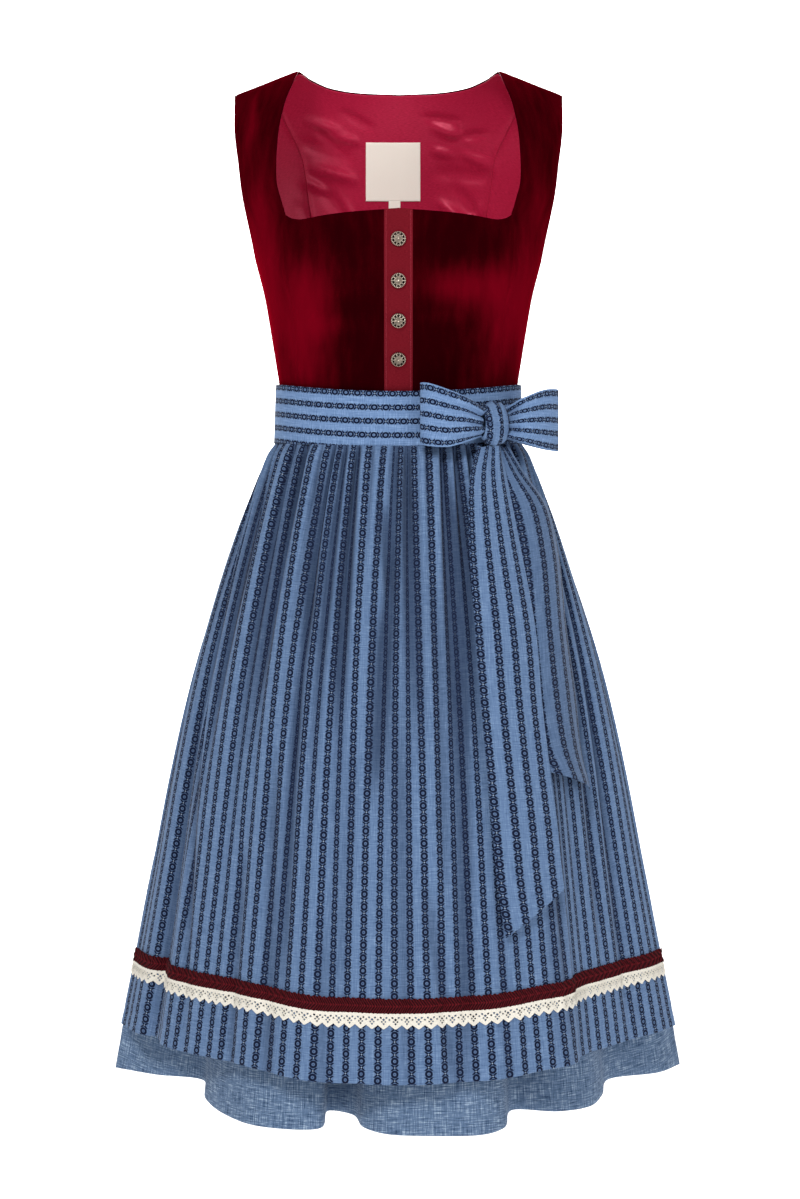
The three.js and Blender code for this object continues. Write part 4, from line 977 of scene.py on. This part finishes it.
# Small gathers between them end sooner.
for centre, strength, reach in zip(*uneven(58, 0.43)):
    fade = hump(np.maximum(a_fall, 0), 55 + 170 * reach, 1.6)
    narrow += 0.62 * strength * fade * hump(run - run_of(centre), 1.9 + 4.0 * smooth(0, 200, a_fall))
for x0, d0, x1, d1, width, strength in VALLEYS:
    t = (a_drops - d0) / (d1 - d0)
    at = mix(share_at(x0, d0), share_at(x1, d1), np.clip(t, -0.3, 1.3)) * arc[:, -1:]
    fade = smooth(-0.25, 0.15, t) * (1 - smooth(0.7, 1.25, t))
    deep += strength * fade * hump(run - at, 2.6 + 0.62 * width)
narrow, deep = np.minimum(narrow, 1.2), np.minimum(deep, 1.5)
swell = mix(3.3, 1.9, smooth(40, 420, a_fall)) * smooth(-3, 14, a_fall)
A_LIFT = APRON_CLOTH + swell * (1.0 - 1.75 * narrow) + 1.2 * smooth(20, 200, a_fall) - 4.2 * deep
below = room(surface_tree([SKIRT]), A_FLAT, -A_OUT, 40.0)
above = room(surface_tree([tail_grid(TAIL_FRONT), tail_grid(TAIL_BACK)]), A_FLAT, A_OUT, 60.0)
A_LIFT = np.clip(A_LIFT, np.maximum(2.0 - below, -9), np.maximum(above - 2.4, 1.0))
APRON_FACE = A_FLAT + A_OUT * A_LIFT[..., None]
# Painted shade for the apron's colour, deepest in the narrow gathers and the long valleys.
A_PAINTED_SHADE = np.clip(narrow * mix(0.92, 0.54, smooth(30, 380, a_fall)) + 0.5 * deep, 0, 1)


def apron_at(drop_from, drop_to, rows, shares):
    """Part of the apron's outer face between two drops."""
    at = np.interp(np.linspace(drop_from, drop_to, rows), a_drops[:, A_COLS // 2], np.arange(A_ROWS))
    top = np.minimum(at.astype(int), A_ROWS - 2)
    band = mix(APRON_FACE[top], APRON_FACE[top + 1], (at - top)[:, None, None])
    columns = shares * (A_COLS - 1)
    left = np.clip(columns.astype(int), 0, A_COLS - 2)
    return mix(band[:, left], band[:, left + 1], (columns - left)[None, :, None])


grid = APRON_FACE - A_OUT * 0.35 * hump(a_drops - APRON_FOOT + HEM_TURN_APRON, 1.0)[..., None]
cloth("apron", "apron_cloth", "apron", grid, APRON_CLOTH,
      pair(a_shares * APRON_LENGTH, -lengths(APRON_BASE, 0)), (APRON_LENGTH, cut_of(APRON_BASE)[1]),
      "gathered", ["waistband_front"], painted_shade=A_PAINTED_SHADE)

# The gimp braid: looped edges and a slanted weave in relief.
TRIM_ENDS, BRAID_TOP, BRAID_FOOT = (0.0008, 0.9992), 883.4, 895.2
share = np.linspace(*TRIM_ENDS, 1401)
run = share * APRON_LENGTH
q = down(13, -1, 1)
weave = np.cos(TURN * (run / 3.4 + 0.55 * np.abs(q)))
relief = 0.9 + 0.75 * weave * (1 - 0.25 * q ** 2) + 0.25 * np.cos(TURN * q * 1.5)
grid = apron_at(BRAID_TOP, BRAID_FOOT, 13, share)
grid += normals(grid) * (0.3 + 0.8 + 0.6 * relief)[..., None]
loops = np.abs(np.sin(math.pi * run / 4.8)) - 0.4
grid[:2, :, 2] += np.array([[1.1], [0.5]]) * loops
grid[-2:, :, 2] -= np.array([[0.3], [0.7]]) * loops
cloth("braid", "braid", "braid", grid, BRAID_CLOTH, pair(run, -6 * q), (APRON_LENGTH, 12.0), "laid",
      ["apron"])

# The lace: a scalloped edge with small eyelets, opened cell by cell.
LACE_DEPTH, LACE_REPEAT, SCALLOP_COLS, LACE_ROWS = 13.0, 10.6, 18, 24
LACE_TOP, LACE_SPAN = 895.9, 13.1
count = round(APRON_LENGTH / LACE_REPEAT) * SCALLOP_COLS + 1
share = np.linspace(*TRIM_ENDS, count)
phase = ((np.arange(count) % SCALLOP_COLS) / SCALLOP_COLS - 0.5) * LACE_REPEAT
depth = LACE_DEPTH - 3.6 * (2 * np.abs(phase) / LACE_REPEAT) ** 1.35
hang = down(LACE_ROWS) * depth
plain = apron_at(LACE_TOP, LACE_TOP + LACE_SPAN, 8, share)
plain += normals(plain) * (0.3 + 0.9)
lace_grid = np.empty((LACE_ROWS, count, 3))
for j in range(3):
    for c in range(count):
        lace_grid[:, c, j] = np.interp(hang[:, c], np.linspace(0, LACE_SPAN, 8), plain[:, c, j])
# The middles of the cells, across their scallop and down, and the eyelets: across, down, radius
half = LACE_REPEAT / 2
cx = (phase[:-1] + phase[1:]) / 2
cx = np.where(np.abs(np.diff(phase)) > half, half, cx)
cy = (hang[:-1, :-1] + hang[1:, 1:] + hang[:-1, 1:] + hang[1:, :-1]) / 4
EYELETS = [(half / 2, 3.3, .98), (-half / 2, 3.3, .98), (0, 5.1, .98), (half, 5.1, .98),
           (-half, 5.1, .98), (1.5, 6.9, .78), (-1.5, 6.9, .78), (0, 8.7, .9)]
solid = np.all([np.hypot(cx - ex, cy - ey) >= radius for ex, ey, radius in EYELETS], 0)
lift = 0.30 * hump(hang - depth + 0.8, 0.7) + 0.15 * np.cos(hang * 2.4)
lace_grid += normals(lace_grid) * lift[..., None]
cloth("lace", "lace", "lace", lace_grid, LACE_CLOTH, pair(share * APRON_LENGTH, -hang),
      (APRON_LENGTH, LACE_DEPTH), "laid", ["apron"], keep=solid)


# --- waistband and bow
def band_grid(start, stop, cols, rows):
    size = {key: mix(BAND_TOP[key], BAND_FOOT[key], down(rows)) for key in BAND_TOP}
    plan = ring(size["width"], size["depth"], size["back"], along(cols, start, stop))
    sink = np.where(plan[..., 1] < 0, np.minimum(-plan[..., 1] / size["depth"], 1) ** 2, 0)
    z = -size["drop"] - size["dip"] * sink
    return np.concatenate([plan, z[..., None]], -1)


BAND_CREASES = [
    (-60, 344, -20, 350, 4, 0.9), (-10, 352, 22, 346, 4, -0.9), (-100, 338, -70, 342, 4, 0.7),
    (20, 362, 60, 352, 4, 0.9), (-40, 366, 10, 362, 3, -0.6), (96, 336, 112, 350, 4, 0.8)
]
for name, start in (("waistband_front", -math.pi / 2), ("waistband_back", math.pi / 2)):
    grid = band_grid(start, start + math.pi, 200, 22)
    v = lengths(grid, 0)
    lift = BAND_CLOTH + creases(grid, BAND_CREASES) - 0.3 * hump(v - 1.6, 0.8)
    grid = grid + normals(grid) * lift[..., None]
    # Five stripes run round the band, the first on its top edge.
    uv = pair(lengths(grid, 1), v * (STRIPE_PITCH / 13.3) + 5.4)
    cloth(name, "apron_cloth", "band", grid, BAND_CLOTH, uv, cut_of(grid), "stretched")

t, w = along(120), down(34)
pinch = 1 - smooth(0.0, 0.75, np.minimum(t, 1 - t) * 2)
pleat = (1.9 * np.cos(TURN * (3.1 * w + 0.15)) + 1.1 * np.cos(TURN * (1.6 * w + 0.4))) * pinch
for name, path in (("bow_loop_left", LOOP_LEFT), ("bow_loop_right", LOOP_RIGHT)):
    top, foot = (spline([(r[0], r[1], -r[k]) for r in path], t[0]) for k in (2, 3))
    grid = mix(top, foot, w[..., None])
    grid = grid + normals(grid) * (BOW_CLOTH + pleat + 0.7)[..., None]
    cloth(name, "apron_cloth", "band", grid, BOW_CLOTH, pair(lengths(grid, 1), w * 69 + 3.0),
          cut_of(grid), "folded", ["bow_knot"])

# The back tail's colour is darkened evenly by painted shade, as it hangs behind the front tail and turns
# aside.
for name, table, start, shade in (("bow_tail_front", TAIL_FRONT, 5.0, 0.0),
                                  ("bow_tail_back", TAIL_BACK, 2.0, 0.42)):
    grid = tail_grid(table)
    t, w = down(grid.shape[0]), along(grid.shape[1])
    ripple = 1.7 * np.cos(TURN * (2.3 * w + 0.2)) * np.exp(-t / 0.22)
    ripple = ripple + 1.3 * hump(w - 0.62 + 0.1 * t, 0.12) * (1 - smooth(0.5, 0.95, t))
    ripple = ripple + 0.9 * hump(w - 0.28, 0.1) * smooth(0.1, 0.3, t)
    grid = grid + normals(grid) * (BOW_CLOTH + ripple)[..., None]
    cloth(name, "apron_cloth", "apron", grid, BOW_CLOTH, pair(w * 57 + start, -lengths(grid, 0)),
          cut_of(grid), "hung", ["bow_knot"], painted_shade=np.full(grid.shape[:2], shade))

# The knot: a band of cloth wound over the loops' roots, pinched at both mouths.
turn = math.radians(KNOT["turn"])
across, out = np.array([math.cos(turn), math.sin(turn), 0]), np.array([math.sin(turn), -math.cos(turn), 0])
centre = np.array([KNOT["x"], KNOT["y"], -KNOT["drop"]]) + out * (KNOT["deep"] / 2 + LAYER_GAP)
s, a = down(40, -1, 1), along(97, 0, TURN)
barrel = np.sqrt(np.clip(1 - 0.62 * s ** 2, 0, 1))
wrap = 0.5 * np.cos(9 * s + 0.8 * np.sin(a)) + 0.35 * np.cos(15 * s - a)
high = np.sin(a) * (KNOT["high"] / 2 * barrel + 0.9 * wrap)
wide = np.cos(a) * (KNOT["deep"] / 2 * barrel + 0.7 * wrap)
grid = centre + across * (s * KNOT["wide"] / 2)[..., None] + out * wide[..., None]
grid[..., 2] += high
uv = pair(s * 17 + 21 + 2.2 * np.sin(a), along(97, 1, 97) * 108 / 96)
sign = 1.0 if np.dot(normals(grid)[20, 0], out) >= 0 else -1.0
cloth("bow_knot", "apron_cloth", "apron", grid, BOW_CLOTH, uv, cut_of(grid), "folded",
      ["waistband_front"], sign=sign, closed=True)

# --- floor, light and camera
# A pale sweep that glows evenly, far enough back to leave room to look at the dress from behind.
PROFILE = [(-4200, -1300), (3600, -1300), (4400, -1270), (5000, -1130), (5400, -850), (5600, -450),
           (5650, 4600)]
points = [(x, y, z) for y, z in spline(PROFILE, np.linspace(0, 1, 60)) * MM for x in (-6.5, 6.5)]
faces = quads(np.arange(120).reshape(60, 2))[:, ::-1]
mesh = bpy.data.meshes.new("floor")
mesh.from_pydata(points, [], faces.tolist())
mesh.polygons.foreach_set("use_smooth", np.ones(len(faces), bool))
pale = Finish("pale_floor", 0.95, Base_Color=(0.6, 0.6, 0.6, 1), Specular_IOR_Level=0.0,
              Emission_Color=(1, 1, 1, 1), Emission_Strength=0.85)
mesh.materials.append(pale.material)
link("floor", mesh)


def area_light(name, place, target, size, power, spread=180):
    light = bpy.data.lights.new(name, "AREA")
    light.energy, light.size, light.spread = power, size, math.radians(spread)
    light.shape = "SQUARE"
    obj = link(name, light)
    obj.location = place
    obj.rotation_euler = (Vector(target) - Vector(place)).to_track_quat("-Z", "Y").to_euler()


area_light("key", (-1.0, -3.1, 1.9), (0, 0, -0.45), 0.9, 88)
area_light("fill", (2.2, -2.4, 0.4), (0, 0, -0.5), 1.4, 27)
area_light("top", (0, -0.3, 2.2), (0, 0, -0.4), 1.5, 22)
area_light("backdrop_left", (-3.6, 2.2, 2.2), (0.3, 5.6, 0.2), 2.2, 260, 100)
area_light("backdrop_right", (3.6, 2.2, 2.2), (-0.3, 5.6, 0.2), 2.2, 260, 100)
world = bpy.context.scene.world or bpy.data.worlds.new("World")
bpy.context.scene.world = world
world.use_nodes = True
background = world.node_tree.nodes["Background"]
background.inputs[0].default_value = (1, 1, 1, 1)
background.inputs[1].default_value = 0.20

camera = link("camera", bpy.data.cameras.new("camera"))
camera.location = (0.0015, -2.3, -0.430)
camera.rotation_euler = (math.pi / 2, 0, 0)
camera.data.sensor_width, camera.data.lens = 36, 69.06
camera.data.shift_y = -0.083
camera.data.clip_end = 100
bpy.context.scene.camera = camera
bpy.context.scene.view_settings.view_transform = "Standard"
